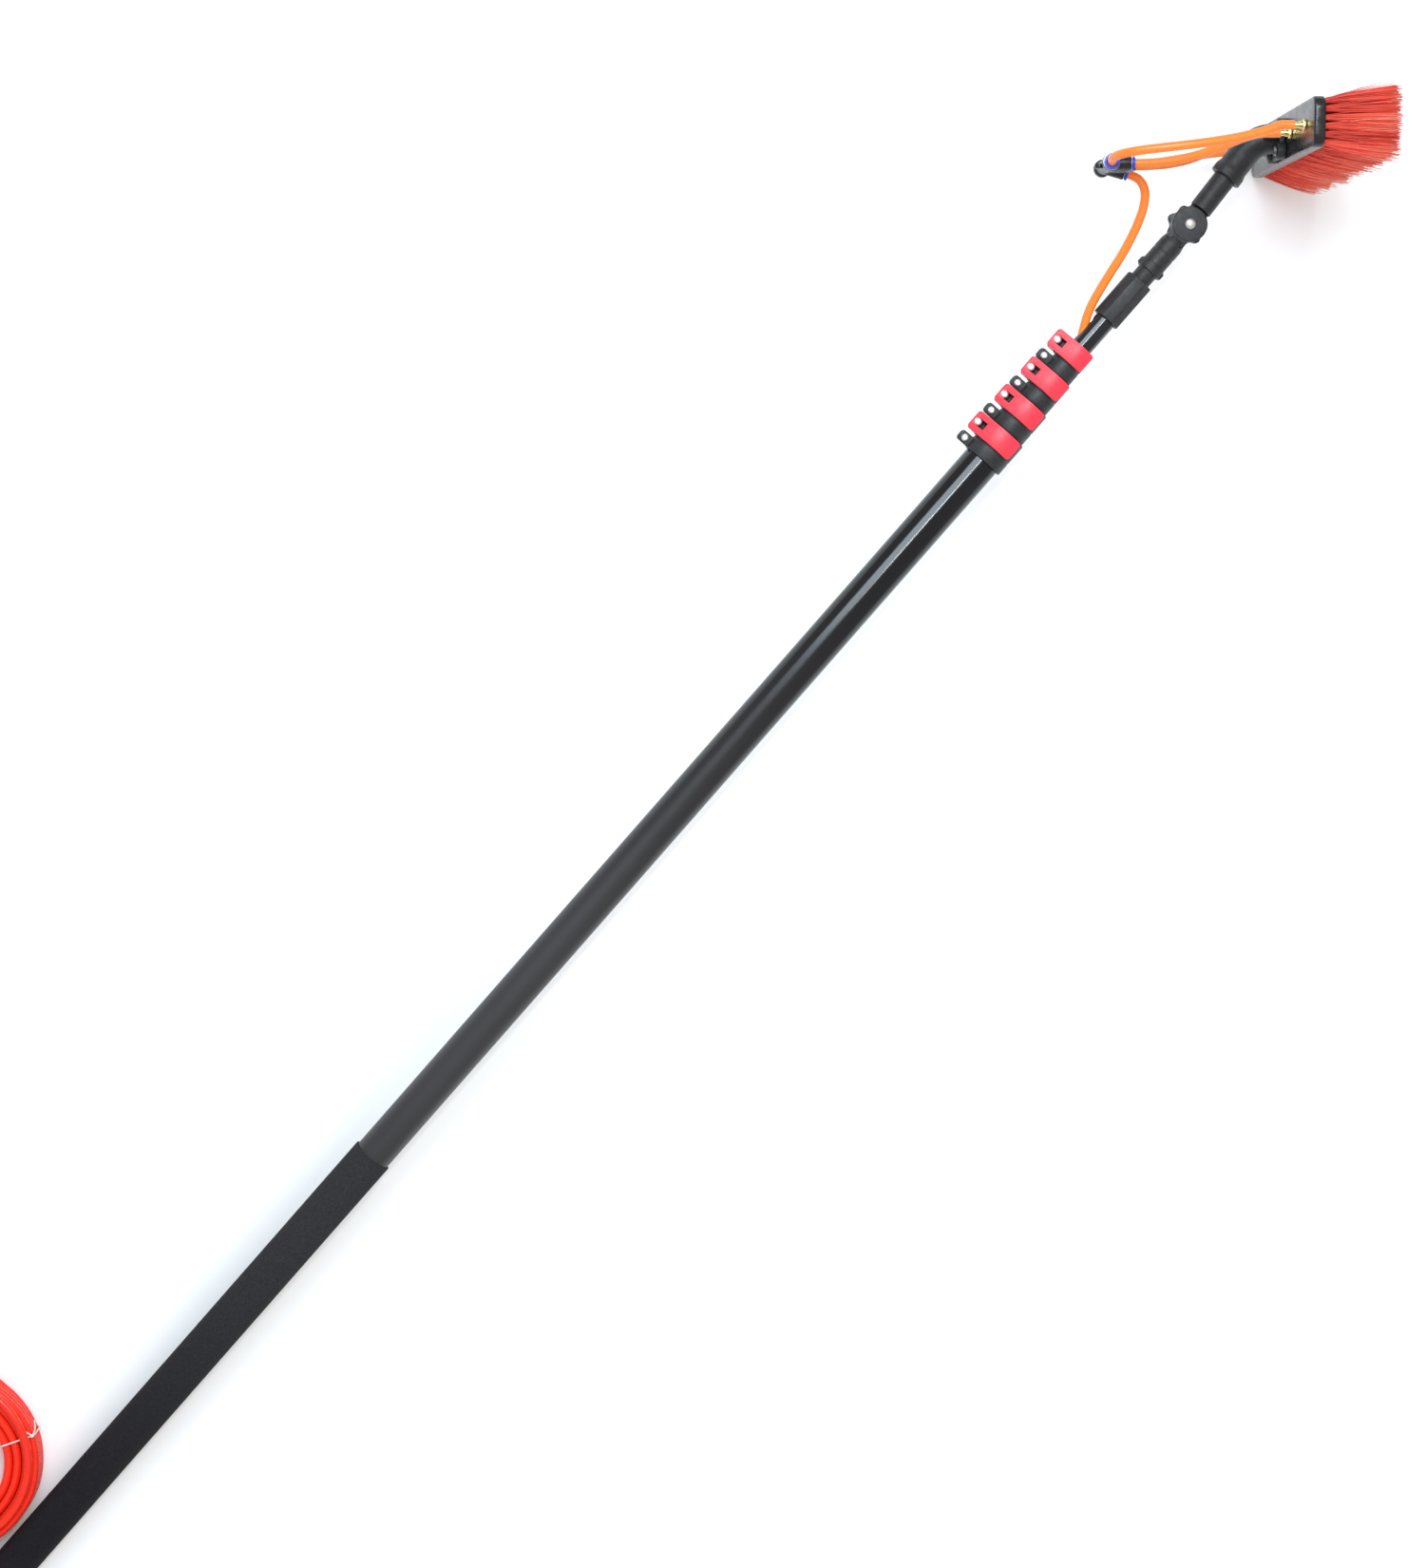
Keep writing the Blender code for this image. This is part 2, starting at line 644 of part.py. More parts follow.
def elbow_route():
    """The elbow's middle line in the brush's frame: along the arm, then square into the block's back."""
    turn = STEM_ANGLE - HEAD_ANGLE
    along = Vector((cos(turn), sin(turn), 0))
    corner_r = BLOCK_U / along.y * along.x
    corner = Vector((corner_r, BLOCK_U, 0))
    start, finish = along * ELBOW_START, Vector((BLOCK_BACK - 2 * MM, BLOCK_U, 0))
    enter = corner - along * 19 * MM
    leave = Vector((min(corner_r + 15 * MM, BLOCK_BACK - 6 * MM), BLOCK_U, 0))
    bend = []
    for i in range(8):
        t = i / 7
        bend.append(enter * (1 - t) ** 2 + corner * 2 * t * (1 - t) + leave * t**2)
    return along, [start, *bend, finish]


def make_bracket(head):
    along, route = elbow_route()
    curve = rod_along(route, ELBOW_RADIUS, 5)
    mesh = smooth(mesh_from(bpy.data.objects.new("elbow", curve)), 50)
    bracket = add_part("elbow_bracket", mesh, PLASTIC, head)
    back = BLOCK_BACK - GAP
    plate = prism(rounded_rectangle(16.5 * MM, 21 * MM, 9 * MM, 4), 0, 5 * MM)
    # the plate's own X is the brush's u, its own Y runs along the brush, its own Z points off the block
    plate.transform(Matrix(((0, 0, -1, back), (1, 0, 0, BLOCK_U - 2 * MM), (0, 1, 0, 0), (0, 0, 0, 1))))
    bosses = []
    for u, z in BRACKET_SCREWS:
        bosses.append(moved(rod(7.6 * MM, 0.02 * MM, 7.4 * MM, 12), (back, BLOCK_U + u, z), (-1, 0, 0)))
    flare = [
        (0.0, 13 * MM),
        (ELBOW_RADIUS - 0.4 * MM, 13 * MM),
        (14.6 * MM, 7 * MM),
        (14.6 * MM, 0.0),
        (0.0, 0.0),
    ]
    join(bracket, plate, *bosses, moved(turned(flare, 24), along * ELBOW_START, along))
    bore = rod(ARM_RADIUS + FINE_GAP, -5 * MM, ELBOW_BORE_END - ELBOW_START, 24)
    holes = []
    for u, z in BRACKET_SCREWS:
        holes.append(moved(rod(2.3 * MM, -MM, 12 * MM, 10), (back, BLOCK_U + u, z), (-1, 0, 0)))
    cut(bracket, moved(bore, along * ELBOW_START, along), *holes)
    for i, (u, z) in enumerate(BRACKET_SCREWS, 1):
        low, top, head_top = -6.5 * MM, 7.4 * MM + GAP, 10.4 * MM
        profile = [
            (0.0, head_top),
            (3.9 * MM, head_top),
            (4.4 * MM, head_top - 0.6 * MM),
            (4.4 * MM, top),
            (2.0 * MM, top),
            (2.0 * MM, low),
            (0.0, low),
        ]
        screw = moved(turned(profile, 12), (0, 0, 0), (-1, 0, 0))
        add_part(f"bracket_screw_{i}", screw, STEEL, head, (back, BLOCK_U + u, z))


def make_block(head):
    mesh = prism(rounded_rectangle(BLOCK_WIDTH / 2, BLOCK_LENGTH / 2, BLOCK_CORNER, 4), 0, BLOCK_THICK)
    mesh.transform(Matrix(((0, 0, 1, BLOCK_BACK), (1, 0, 0, BLOCK_U), (0, 1, 0, 0), (0, 0, 0, 1))))
    block = add_part("brush_block", mesh, PLASTIC, head)
    bevel(block, 1.5 * MM, 1, 60)
    holes = []
    for z in NIPPLE_Z:
        hole = rod(2.9 * MM, -2 * MM, BLOCK_THICK + 2 * MM, 12)
        holes.append(moved(hole, (BLOCK_BACK, BLOCK_U, z), (1, 0, 0)))
    for u, z in BRACKET_SCREWS:
        holes.append(moved(rod(2.3 * MM, -2 * MM, 7 * MM, 10), (BLOCK_BACK, BLOCK_U + u, z), (1, 0, 0)))
    cut(block, *holes)


def make_nipples(head):
    """Brass hose nipples screwed through the block; the front end is the water jet."""
    for i, z in enumerate(NIPPLE_Z, 1):
        stem, flange, thread, jet = 2.7 * MM, 4.6 * MM, 2.6 * MM, 0.9 * MM
        front = -(BLOCK_THICK - 0.6 * MM)
        profile = [
            (stem, NIPPLE_STEM),
            (stem, 3.4 * MM),
            (flange, 3.4 * MM),
            (flange, GAP),
            (thread, GAP),
            (thread, front),
            (jet, front),
            (jet, NIPPLE_STEM),
        ]
        nipple = moved(turned(profile, 12), (0, 0, 0), (-1, 0, 0))
        add_part(f"jet_nipple_{i}", nipple, BRASS, head, (BLOCK_BACK, BLOCK_U, z))


def make_bristles(head):
    """One plain solid for all the tufts: it widens from the block to the tips."""
    base_u, base_z = BLOCK_WIDTH / 2 - 2.5 * MM, BLOCK_LENGTH / 2 - 4 * MM
    start = BLOCK_BACK + BLOCK_THICK + GAP
    work = bmesh.new()
    bmesh.ops.create_cube(work, size=2.0)
    for vert in work.verts:
        tip = vert.co.x > 0
        vert.co.x = BRISTLE_TIP if tip else start
        vert.co.y = BLOCK_U + vert.co.y * (TIP_HALF_WIDTH if tip else base_u)
        vert.co.z *= TIP_HALF_LENGTH if tip else base_z
    mesh = bpy.data.meshes.new("bristles")
    work.to_mesh(mesh)
    work.free()
    add_part("bristle_pack", mesh, BRISTLE, head)


# ---------------------------------------------------------------- manifold and hoses

PORT_MOUTH = 18.5 * MM  # from the manifold's axis to a side port's mouth
END_MOUTH = 34.0 * MM  # from its middle to an end port's mouth
HOSE_IN_PORT = 7.0 * MM
FEED_PORT_ANGLE = radians(-16.0)


def ports():
    """name: (mouth, outward direction) in the manifold's own frame."""
    side = Vector((1, 0, 0))
    feed = Vector((cos(FEED_PORT_ANGLE), sin(FEED_PORT_ANGLE), 0))
    return {
        "near": (Vector((0, 0, END_MOUTH)), Vector((0, 0, 1))),
        "side_1": (side * PORT_MOUTH + Vector((0, 0, 20 * MM)), side),
        "side_2": (side * PORT_MOUTH + Vector((0, 0, 7.5 * MM)), side),
        "side_3": (side * PORT_MOUTH + Vector((0, 0, -5 * MM)), side),
        "far": (Vector((0, 0, -END_MOUTH)), Vector((0, 0, -1))),
        "feed": (feed * PORT_MOUTH + Vector((0, 0, -17.5 * MM)), feed),
    }


def make_manifold(head):
    frame = frame_at("manifold_frame", head, MANIFOLD_AT)
    profile = [
        (0.0, END_MOUTH),
        (7.2 * MM, END_MOUTH),
        (7.8 * MM, END_MOUTH - 0.8 * MM),
        (7.8 * MM, 27 * MM),
        (6.0 * MM, 25 * MM),
        (6.0 * MM, -24.5 * MM),
        (7.8 * MM, -26 * MM),
        (7.8 * MM, -END_MOUTH + 0.8 * MM),
        (7.2 * MM, -END_MOUTH),
        (0.0, -END_MOUTH),
    ]
    body = add_part("manifold_body", turned(profile, 20), PLASTIC, frame)
    branches, bores = [], []
    for name, (mouth, way) in ports().items():
        if name not in ("near", "far"):
            branches.append(moved(rod(6.15 * MM, -PORT_MOUTH + 1.1 * MM, 0, 14), mouth, way))
        bores.append(moved(rod(5.0 * MM, -8.3 * MM, MM, 14), mouth, way))
    lug = moved(rod(4.2 * MM, -2 * MM, 2 * MM, 12), (-8.2 * MM, -2.0 * MM, 14 * MM), (0, 1, 0))
    join(body, *branches, lug)
    cut(body, *bores)
    sleeve, bore = 4.7 * MM, HOSE_RADIUS + FINE_GAP
    for name, (mouth, way) in ports().items():
        collet_ring = 7.0 * MM if name in ("near", "far") else 6.0 * MM
        profile = [
            (collet_ring - 0.4 * MM, 3.4 * MM),
            (collet_ring, 3.0 * MM),
            (collet_ring, 1.4 * MM),
            (sleeve, 1.4 * MM),
            (sleeve, -4.5 * MM),
            (bore, -4.5 * MM),
            (bore, 3.4 * MM),
        ]
        add_part(f"collet_{name}", moved(turned(profile, 14), (0, 0, 0), way), BLUE, frame, mouth)


def port_in_head(name):
    """A port's mouth and direction in the brush's frame."""
    mouth, way = ports()[name]
    return mouth + Vector(MANIFOLD_AT), way


# each branch hose: its port, then its way and stiffness on leaving the port and on arriving, in millimetres
BRANCH_HOSES = {
    1: ("near", (-12, 8, 57), (52, 22, -6)),
    2: ("side_1", (65, 0, 0), (28, 0, 0)),
    3: ("side_3", (70, 0, 0), (44, 0, 0)),
    4: ("far", (0, 0, -80), (32, 0, 0)),
}


def bent_between(start, leaving, end, arriving, steps=16):
    """The easy bend of a hose held at both ends; the two vectors give its way there and its stiffness."""
    first, last = start + leaving, end - arriving
    points = []
    for i in range(steps + 1):
        t = i / steps
        s = 1 - t
        points.append(start * s**3 + first * 3 * t * s**2 + last * 3 * t**2 * s + end * t**3)
    return points


def branch_points(i):
    """Branch hose i, from inside its port to the foot of nipple i's stem, in the brush's frame."""
    port, leaving, arriving = BRANCH_HOSES[i]
    mouth, way = port_in_head(port)
    into = Vector((1, 0, 0))
    end = Vector((BLOCK_BACK - NIPPLE_STEM - GAP, BLOCK_U, NIPPLE_Z[i - 1]))
    start, stop = mouth + way * 4 * MM, end - into * 8 * MM
    bend = bent_between(start, Vector(leaving) * MM, stop, Vector(arriving) * MM)
    return [mouth - way * HOSE_IN_PORT, *bend, end]


# the feed hose in the pole's frame, from inside the head section out through the slot, in millimetres
FEED_IN_POLE = [
    (1574, 0, 0),
    (1582, 0.2, 0),
    (1590, 1.6, 0),
    (1599, 4.8, 0.2),
    (1608, 9.4, 0.8),
    (1617, 14.0, 1.8),
    (1628, 18.2, 3.4),
    (1642, 21.6, 6),
    (1660, 25.0, 10),
    (1678, 28.2, 14.2),
    (1694, 32.2, 18.2),
    (1709, 37.2, 21.8),
    (1720, 42.2, 24.2),
    (1728.7, 48.2, 25.5),
    (1733.4, 54.6, 26.2),
    (1735.1, 61.6, 26.5),
]


def make_hoses(pole, head):
    for i in BRANCH_HOSES:
        hose(f"branch_hose_{i}", branch_points(i), head, 10 * MM)
    mouth, way = port_in_head("feed")
    to_pole = Matrix.Translation((KNUCKLE_X, 0, 0)) @ Matrix.Rotation(HEAD_ANGLE, 4, "Z")
    arrive = [mouth + way * 7 * MM, mouth + way * 3 * MM, mouth - way * HOSE_IN_PORT]
    points = [Vector(p) * MM for p in FEED_IN_POLE] + [to_pole @ p for p in arrive]
    hose("feed_hose", points, pole, 9 * MM)
    hose("inner_hose", [(14 * MM, 0, 0), (800 * MM, 0, 0), (1573.6 * MM, 0, 0)], pole, 800 * MM)


# the supply hose from the end cap to the coil, on the floor, in millimetres from the end cap's foot
SUPPLY_POINTS = [
    (12, 0, 20.3),
    (-6, 0, 19.0),
    (-20, 0, 17.4),
    (-36, 1, 12.4),
    (-52, 5, 7.2),
    (-66, 14, 4.5),
    (-76, 29, 4.1),
    (-80, 48, 4.1),
    (-78, 70, 4.1),
    (-70, 93, 4.1),
    (-56, 115, 4.1),
    (-36, 136, 4.1),
    (-10, 155, 4.1),
    (20, 171, 4.1),
    (52, 184, 4.1),
    (84, 193, 4.1),
    (112, 198, 4.1),
]


def make_coil(floor):
    hose("supply_hose", [Vector(p) * MM for p in SUPPLY_POINTS], floor, 20 * MM)
    edge = 4 * MM
    outer, inner, high = COIL_OUTER, COIL_INNER, COIL_HEIGHT
    profile = [
        (outer - edge, high),
        (outer, high - edge),
        (outer, edge),
        (outer - edge, 0.0),
        (inner + edge, 0.0),
        (inner, edge),
        (inner, high - edge),
        (inner + edge, high),
    ]
    add_part("hose_coil", turned(profile, 24), ORANGE, floor, (*COIL_MIDDLE, 0))
    profile = [
        (0.0, 46 * MM),
        (3.2 * MM, 46 * MM),
        (3.2 * MM, 33 * MM),
        (5.2 * MM, 33 * MM),
        (5.2 * MM, 29 * MM),
        (7.0 * MM, 27 * MM),
        (7.0 * MM, 9 * MM),
        (5.6 * MM, 7 * MM),
        (5.6 * MM, 0.0),
        (0.0, 0.0),
    ]
    connector = moved(turned(profile, 16), (0, 0, 0), (0, -1, 0))
    at = (COIL_MIDDLE[0] - 69 * MM, COIL_MIDDLE[1] + 23 * MM, COIL_HEIGHT + GAP + 7 * MM)
    add_part("hose_connector", connector, BRASS, floor, at)


# ---------------------------------------------------------------- the whole object


def footprint(frame):
    """Middle of the object's own footprint, without the spare hose lying beside it."""
    bpy.context.view_layer.update()
    graph = bpy.context.evaluated_depsgraph_get()
    spare = ("supply_hose", "hose_coil", "hose_connector")
    corners = []
    for obj in PARTS.objects:
        if obj.type == "EMPTY" or obj.name in spare:
            continue
        shown = obj.evaluated_get(graph)
        mesh = shown.to_mesh()
        corners += [shown.matrix_world @ vert.co for vert in mesh.vertices]
        shown.to_mesh_clear()
    low = [min(c[i] for c in corners) for i in range(3)]
    high = [max(c[i] for c in corners) for i in range(3)]
    return (low[0] + high[0]) / 2, (low[1] + high[1]) / 2, low[2]


def build():
    stand = frame_at("stand")
    pole = frame_at("pole", stand, (0, 0, CAP_RADIUS * cos(LIE_ANGLE)), (0, -LIE_ANGLE, 0))
    floor = frame_at("floor", stand)
    make_tubes(pole)
    make_bushes(pole)
    make_grip(pole)
    make_end_cap(pole)
    make_clamps(pole)
    make_sleeve_nut(pole)
    knuckle = make_lower_knuckle(pole)
    make_upper_knuckle(knuckle)
    make_knuckle_bolt(knuckle)
    make_star_knob(knuckle)
    head = frame_at("head", knuckle, (0, 0, 0), (0, 0, HEAD_ANGLE))
    make_bracket(head)
    make_block(head)
    make_nipples(head)
    make_bristles(head)
    make_manifold(head)
    make_hoses(pole, head)
    make_coil(floor)
    middle_x, middle_y, low = footprint(stand)
    stand.location = (-middle_x, -middle_y, 0)


build()
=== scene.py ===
"""Looks of the water-fed window cleaning pole: finer shapes, materials, bristles, hoses, light and camera.

Every piece is built in the pole's, head's or manifold's own frame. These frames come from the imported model's
joints. Each piece then rides on its CAD body. Lengths are in metres.
"""

import json
import random
from math import acos, atan2, ceil, cos, hypot, pi, radians, sin, tau

import bmesh
import bpy
from mathutils import Matrix, Vector


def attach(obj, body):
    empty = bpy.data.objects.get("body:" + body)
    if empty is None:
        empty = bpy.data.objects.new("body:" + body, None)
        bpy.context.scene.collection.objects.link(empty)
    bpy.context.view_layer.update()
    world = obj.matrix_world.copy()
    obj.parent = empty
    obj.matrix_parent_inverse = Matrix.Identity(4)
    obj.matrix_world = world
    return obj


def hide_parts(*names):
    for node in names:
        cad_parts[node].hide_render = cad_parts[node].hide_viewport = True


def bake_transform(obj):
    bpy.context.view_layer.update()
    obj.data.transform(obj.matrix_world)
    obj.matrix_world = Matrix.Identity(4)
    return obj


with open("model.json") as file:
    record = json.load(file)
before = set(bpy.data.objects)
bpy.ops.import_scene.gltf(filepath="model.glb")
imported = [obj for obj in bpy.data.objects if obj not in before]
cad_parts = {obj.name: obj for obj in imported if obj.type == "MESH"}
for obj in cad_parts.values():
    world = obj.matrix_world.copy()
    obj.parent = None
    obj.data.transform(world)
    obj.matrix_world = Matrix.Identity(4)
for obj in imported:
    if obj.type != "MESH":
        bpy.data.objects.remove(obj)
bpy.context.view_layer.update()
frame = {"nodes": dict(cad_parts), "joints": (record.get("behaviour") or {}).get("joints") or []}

JOINTS = {joint["name"]: joint for joint in frame["joints"]}

MM = 0.001
shift = Matrix.Translation


def mm(*values):
    return tuple(value * MM for value in values)


GAP = 0.3 * MM
FINE_GAP = 0.2 * MM

# tubes
TUBE_RADII = mm(17.3, 15.5, 13.7, 11.9, 10.1)
TUBE_WALL = 1.3 * MM
CAP_LENGTH = 6 * MM
CAP_RADIUS = 19.5 * MM
FIRST_BUSH = 34 * MM
BUSH_PITCH = 26 * MM
BUSH_FLANGE = 10 * MM
GRIP_RADIUS = 19 * MM
GRIP_END = 613 * MM
KNUCKLE_X = 1739 * MM
TUBE_5_END = KNUCKLE_X - 80 * MM
SLOT_START = 1598 * MM
SLOT_END = 1625 * MM
SLOT_HALF_WIDTH = 4.7 * MM

# clamps
CLAMP_START = 1460 * MM
CLAMP_PITCH = 33.8 * MM
CLAMP_LENGTH = 33.3 * MM
CLAMP_WALL = 2.6 * MM
REAR_BAND = 12.7 * MM
TUBE_IN_CLAMP = 12.4 * MM
LEVER_MIDDLE = 23.4 * MM
LEVER_HALF = 9.4 * MM
LEVER_THICK = 2.3 * MM
PIN_RADIUS = 2.2 * MM
PIN_HEIGHT = 5.2 * MM
CAM_RADIUS = 3.9 * MM
LEVER_LIFT = 3.5 * MM
LEVER_END = 5 * MM
LIP_ANGLE = 119.0  # degrees round the tube, where the finger lip leaves it
PIN_OUT = 26.3 * MM  # from the pole's middle line, on the largest clamp
PIN_OUT_PER_RADIUS = 0.917
LUG_PAST_PIN = 5.6 * MM
SCREW_TOP = 6.6 * MM
SCREW_WINDOW = 3.7 * MM
WINDOW_REACH = 7.8 * MM
SCREW_SLIT = 1.4 * MM
LUG_SCREW_X = 5.4 * MM
LUG_SCREW_IN = 0.8 * MM

# knuckle and head
NUT_HALF_WIDTH = 12.7 * MM
NUT_MIDDLE = KNUCKLE_X - 89 * MM
EAR_RADIUS = 15.8 * MM
EAR_THICK = 8.8 * MM
ARM_RADIUS = 10.3 * MM
ARM_START = 16.6 * MM
ARM_END = 70 * MM
BOLT_RADIUS = 3 * MM
STEM_TURN = 3.5  # degrees, from the pole's way to the arm's
HEAD_TURN = 49.0  # degrees, from the bristles' way to the pole's
ELBOW_START = 52 * MM
ELBOW_RADIUS = 13.3 * MM
ELBOW_BORE_END = 72 * MM
BLOCK_LENGTH = 300 * MM
BLOCK_WIDTH = 43.2 * MM
BLOCK_THICK = 10 * MM
BLOCK_CORNER = 11 * MM
BLOCK_BACK = 81.3 * MM
BLOCK_U = 75.9 * MM
BRISTLE_TIP = 154.5 * MM
NIPPLE_Z = mm(115, 50, -50, -115)
NIPPLE_STEM = 13 * MM
BRACKET_SCREWS = [mm(8.5, 20.5), mm(8.5, -20.5), mm(-12.5, -20.5), mm(-12.5, 20.5)]

# manifold and hoses
HOSE_RADIUS = 4 * MM
MANIFOLD_AT = mm(-80, 48, 44)
PORT_MOUTH = 18.5 * MM
END_MOUTH = 34 * MM
HOSE_IN_PORT = 7 * MM
FEED_PORT_ANGLE = radians(-16.0)

# coil on the floor
COIL_MIDDLE = Vector(mm(127.8, 108.6, 0))
COIL_HEIGHT = 32.4 * MM
COIL_TURN_RADIUS = 81.6 * MM  # middle line of the outermost turn
COIL_FIRST = 92.0  # degrees, where the supply hose meets the coil
COIL_COLUMNS = 4
COIL_LAYERS = 4
COIL_PITCH = 8.3 * MM
LAYER_PITCH = 8 * MM
CLIMB_TURN = 0.16  # part of a turn in which the hose climbs onto the next layer
LYING_HEIGHT = 4.1 * MM  # of the hose's middle line over the floor
CONNECTOR_LENGTH = 46 * MM
TIE_ANGLES = (-30.0, 100.0, 215.0)  # degrees round the coil


# --- frames


def basis(origin, x, z):
    """A frame at origin, from its X and Z directions."""
    x, z = Vector(x).normalized(), Vector(z).normalized()
    y = z.cross(x)
    made = Matrix((x, y, z)).transposed().to_4x4()
    made.translation = origin
    return made


TILT = JOINTS["knuckle_tilt"]
KNUCKLE = Vector(TILT["pos_m"])
POLE_WAY = Vector(JOINTS["section_2_slide"]["axis"])
POLE = basis(KNUCKLE - POLE_WAY * KNUCKLE_X, POLE_WAY, TILT["axis"])
AT_KNUCKLE = basis(KNUCKLE, POLE_WAY, TILT["axis"])
HEAD = basis(KNUCKLE, -Vector(JOINTS["collet_side_1_press"]["axis"]), TILT["axis"])
STEM = AT_KNUCKLE @ Matrix.Rotation(radians(STEM_TURN), 4, "Z")
MANIFOLD = HEAD @ shift(MANIFOLD_AT)
FOOT_X = POLE.translation.x
FLOOR = shift((FOOT_X, POLE.translation.y, 0))
ALONG = Matrix.Rotation(pi / 2, 4, "Y")  # turns a mesh's Z onto X
# turns an outline drawn as (y, z) across the pole, so that its own Z runs along the pole
ACROSS = Matrix(((0, 0, 1, 0), (1, 0, 0, 0), (0, 1, 0, 0), (0, 0, 0, 1)))


def new_object(name, data):
    """An object in the scene for a mesh, a curve, a light or the camera."""
    made = bpy.data.objects.new(name, data)
    bpy.context.scene.collection.objects.link(made)
    return made


def along_x(mesh):
    mesh.transform(ALONG)
    return mesh


def moved(mesh, location=(0, 0, 0), way=None):
    """The mesh with its own Z turned onto a direction, if one is given, then moved."""
    turn = Vector(way).normalized().to_track_quat("Z", "Y").to_matrix().to_4x4() if way else Matrix()
    mesh.transform(shift(location) @ turn)
    return mesh


# --- mesh helpers


def fillet(points, radius, closed=True, steps=3):
    """The same outline with each corner rounded; points on the turning axis stay as they are."""
    points = [Vector(p) for p in points]
    count, made = len(points), []
    for i, point in enumerate(points):
        if not closed and i in (0, count - 1):
            made.append(point)
            continue
        before, after = points[i - 1] - point, points[(i + 1) % count] - point
        size = min(radius, before.length * 0.45, after.length * 0.45)
        if size < 0.02 * MM or before.angle(after) > radians(172):
            made.append(point)
            continue
        start, end = point + before.normalized() * size, point + after.normalized() * size
        for step in range(steps + 1):
            t = step / steps
            made.append(start * (1 - t) ** 2 + point * 2 * t * (1 - t) + end * t**2)
    return made


def polygon(sides, radius, turn=0.0):
    angles = [turn + tau * i / sides for i in range(sides)]
    return [(radius * cos(a), radius * sin(a)) for a in angles]


def lathe(profile, sides=64, round_off=0.3 * MM):
    """(radius, height) points, down the outer side, turned about Z; corners are rounded off a little."""
    closed = all(p[0] > 0 for p in profile)
    outline = fillet(profile, round_off, closed) if round_off else [Vector(p) for p in profile]
    work, rings = bmesh.new(), []
    for radius, height in outline:
        if radius < 1e-7:
            rings.append([work.verts.new((0, 0, height))])
        else:
            rings.append([work.verts.new((x, y, height)) for x, y in polygon(sides, radius)])
    for upper, lower in zip(rings, rings[1:] + rings[:1] if closed else rings[1:]):
        for i in range(sides):
            j = (i + 1) % sides
            corners = [ring[n % len(ring)] for ring, n in ((upper, i), (lower, i), (lower, j), (upper, j))]
            work.faces.new(list(dict.fromkeys(corners)))
    return finished(work)


def bridge(work, rings):
    """Side faces from each ring of points to the next."""
    for lower, upper in zip(rings, rings[1:]):
        for i in range(len(lower)):
            j = (i + 1) % len(lower)
            work.faces.new((lower[i], lower[j], upper[j], upper[i]))


def finished(work):
    bmesh.ops.recalc_face_normals(work, faces=work.faces)
    mesh = bpy.data.meshes.new("shape")
    work.to_mesh(mesh)
    work.free()
    return mesh


def rod(radius, low, high, sides=48, round_off=0.3 * MM):
    return lathe([(0, high), (radius, high), (radius, low), (0, low)], sides, round_off)


def pipe(outer, inner, low, high, sides, round_off):
    return lathe([(outer, high), (outer, low), (inner, low), (inner, high)], sides, round_off)


def prism(outline, low, high):
    """A flat outline of (x, y) points as a solid between two heights."""
    work = bmesh.new()
    lower = [work.verts.new((p[0], p[1], low)) for p in outline]
    upper = [work.verts.new((p[0], p[1], high)) for p in outline]
    work.faces.new(lower)
    work.faces.new(upper)
    bridge(work, [lower, upper])
    return finished(work)


def box(low, high):
    corners = [(low[0], low[1]), (high[0], low[1]), (high[0], high[1]), (low[0], high[1])]
    return prism(corners, low[2], high[2])


def arc(middle, radius, first, last, steps):
    angles = [radians(first + (last - first) * i / steps) for i in range(steps + 1)]
    return [(middle[0] + radius * cos(a), middle[1] + radius * sin(a)) for a in angles]


def rounded_rectangle(half_x, half_y, corner, steps=8, middle=(0, 0)):
    points = []
    for sign_x, sign_y, first in ((1, 1, 0), (-1, 1, 90), (-1, -1, 180), (1, -1, 270)):
        at = (middle[0] + sign_x * (half_x - corner), middle[1] + sign_y * (half_y - corner))
        points += arc(at, corner, first, first + 90, steps)
    return points


def carved(mesh, joined=(), cut=(), kept=(), bevel=0.0, segments=2, angle=35.0):
    """The mesh with others joined on, cut out or intersected, and its edges bevelled."""
    obj = new_object("carved", mesh)
    tools = []
    for operation, meshes in (("UNION", joined), ("INTERSECT", kept), ("DIFFERENCE", cut)):
        for other in meshes:
            tools.append(new_object("tool", other))
            change = obj.modifiers.new(operation, "BOOLEAN")
            change.operation, change.solver, change.object = operation, "EXACT", tools[-1]
    if bevel:
        change = obj.modifiers.new("bevel", "BEVEL")
        change.width, change.segments = bevel, segments
        change.limit_method, change.angle_limit = "ANGLE", radians(angle)
    graph = bpy.context.evaluated_depsgraph_get()
    made = bpy.data.meshes.new_from_object(obj.evaluated_get(graph), depsgraph=graph)
    for old in [obj, *tools]:
        bpy.data.objects.remove(old, do_unlink=True)
    return made


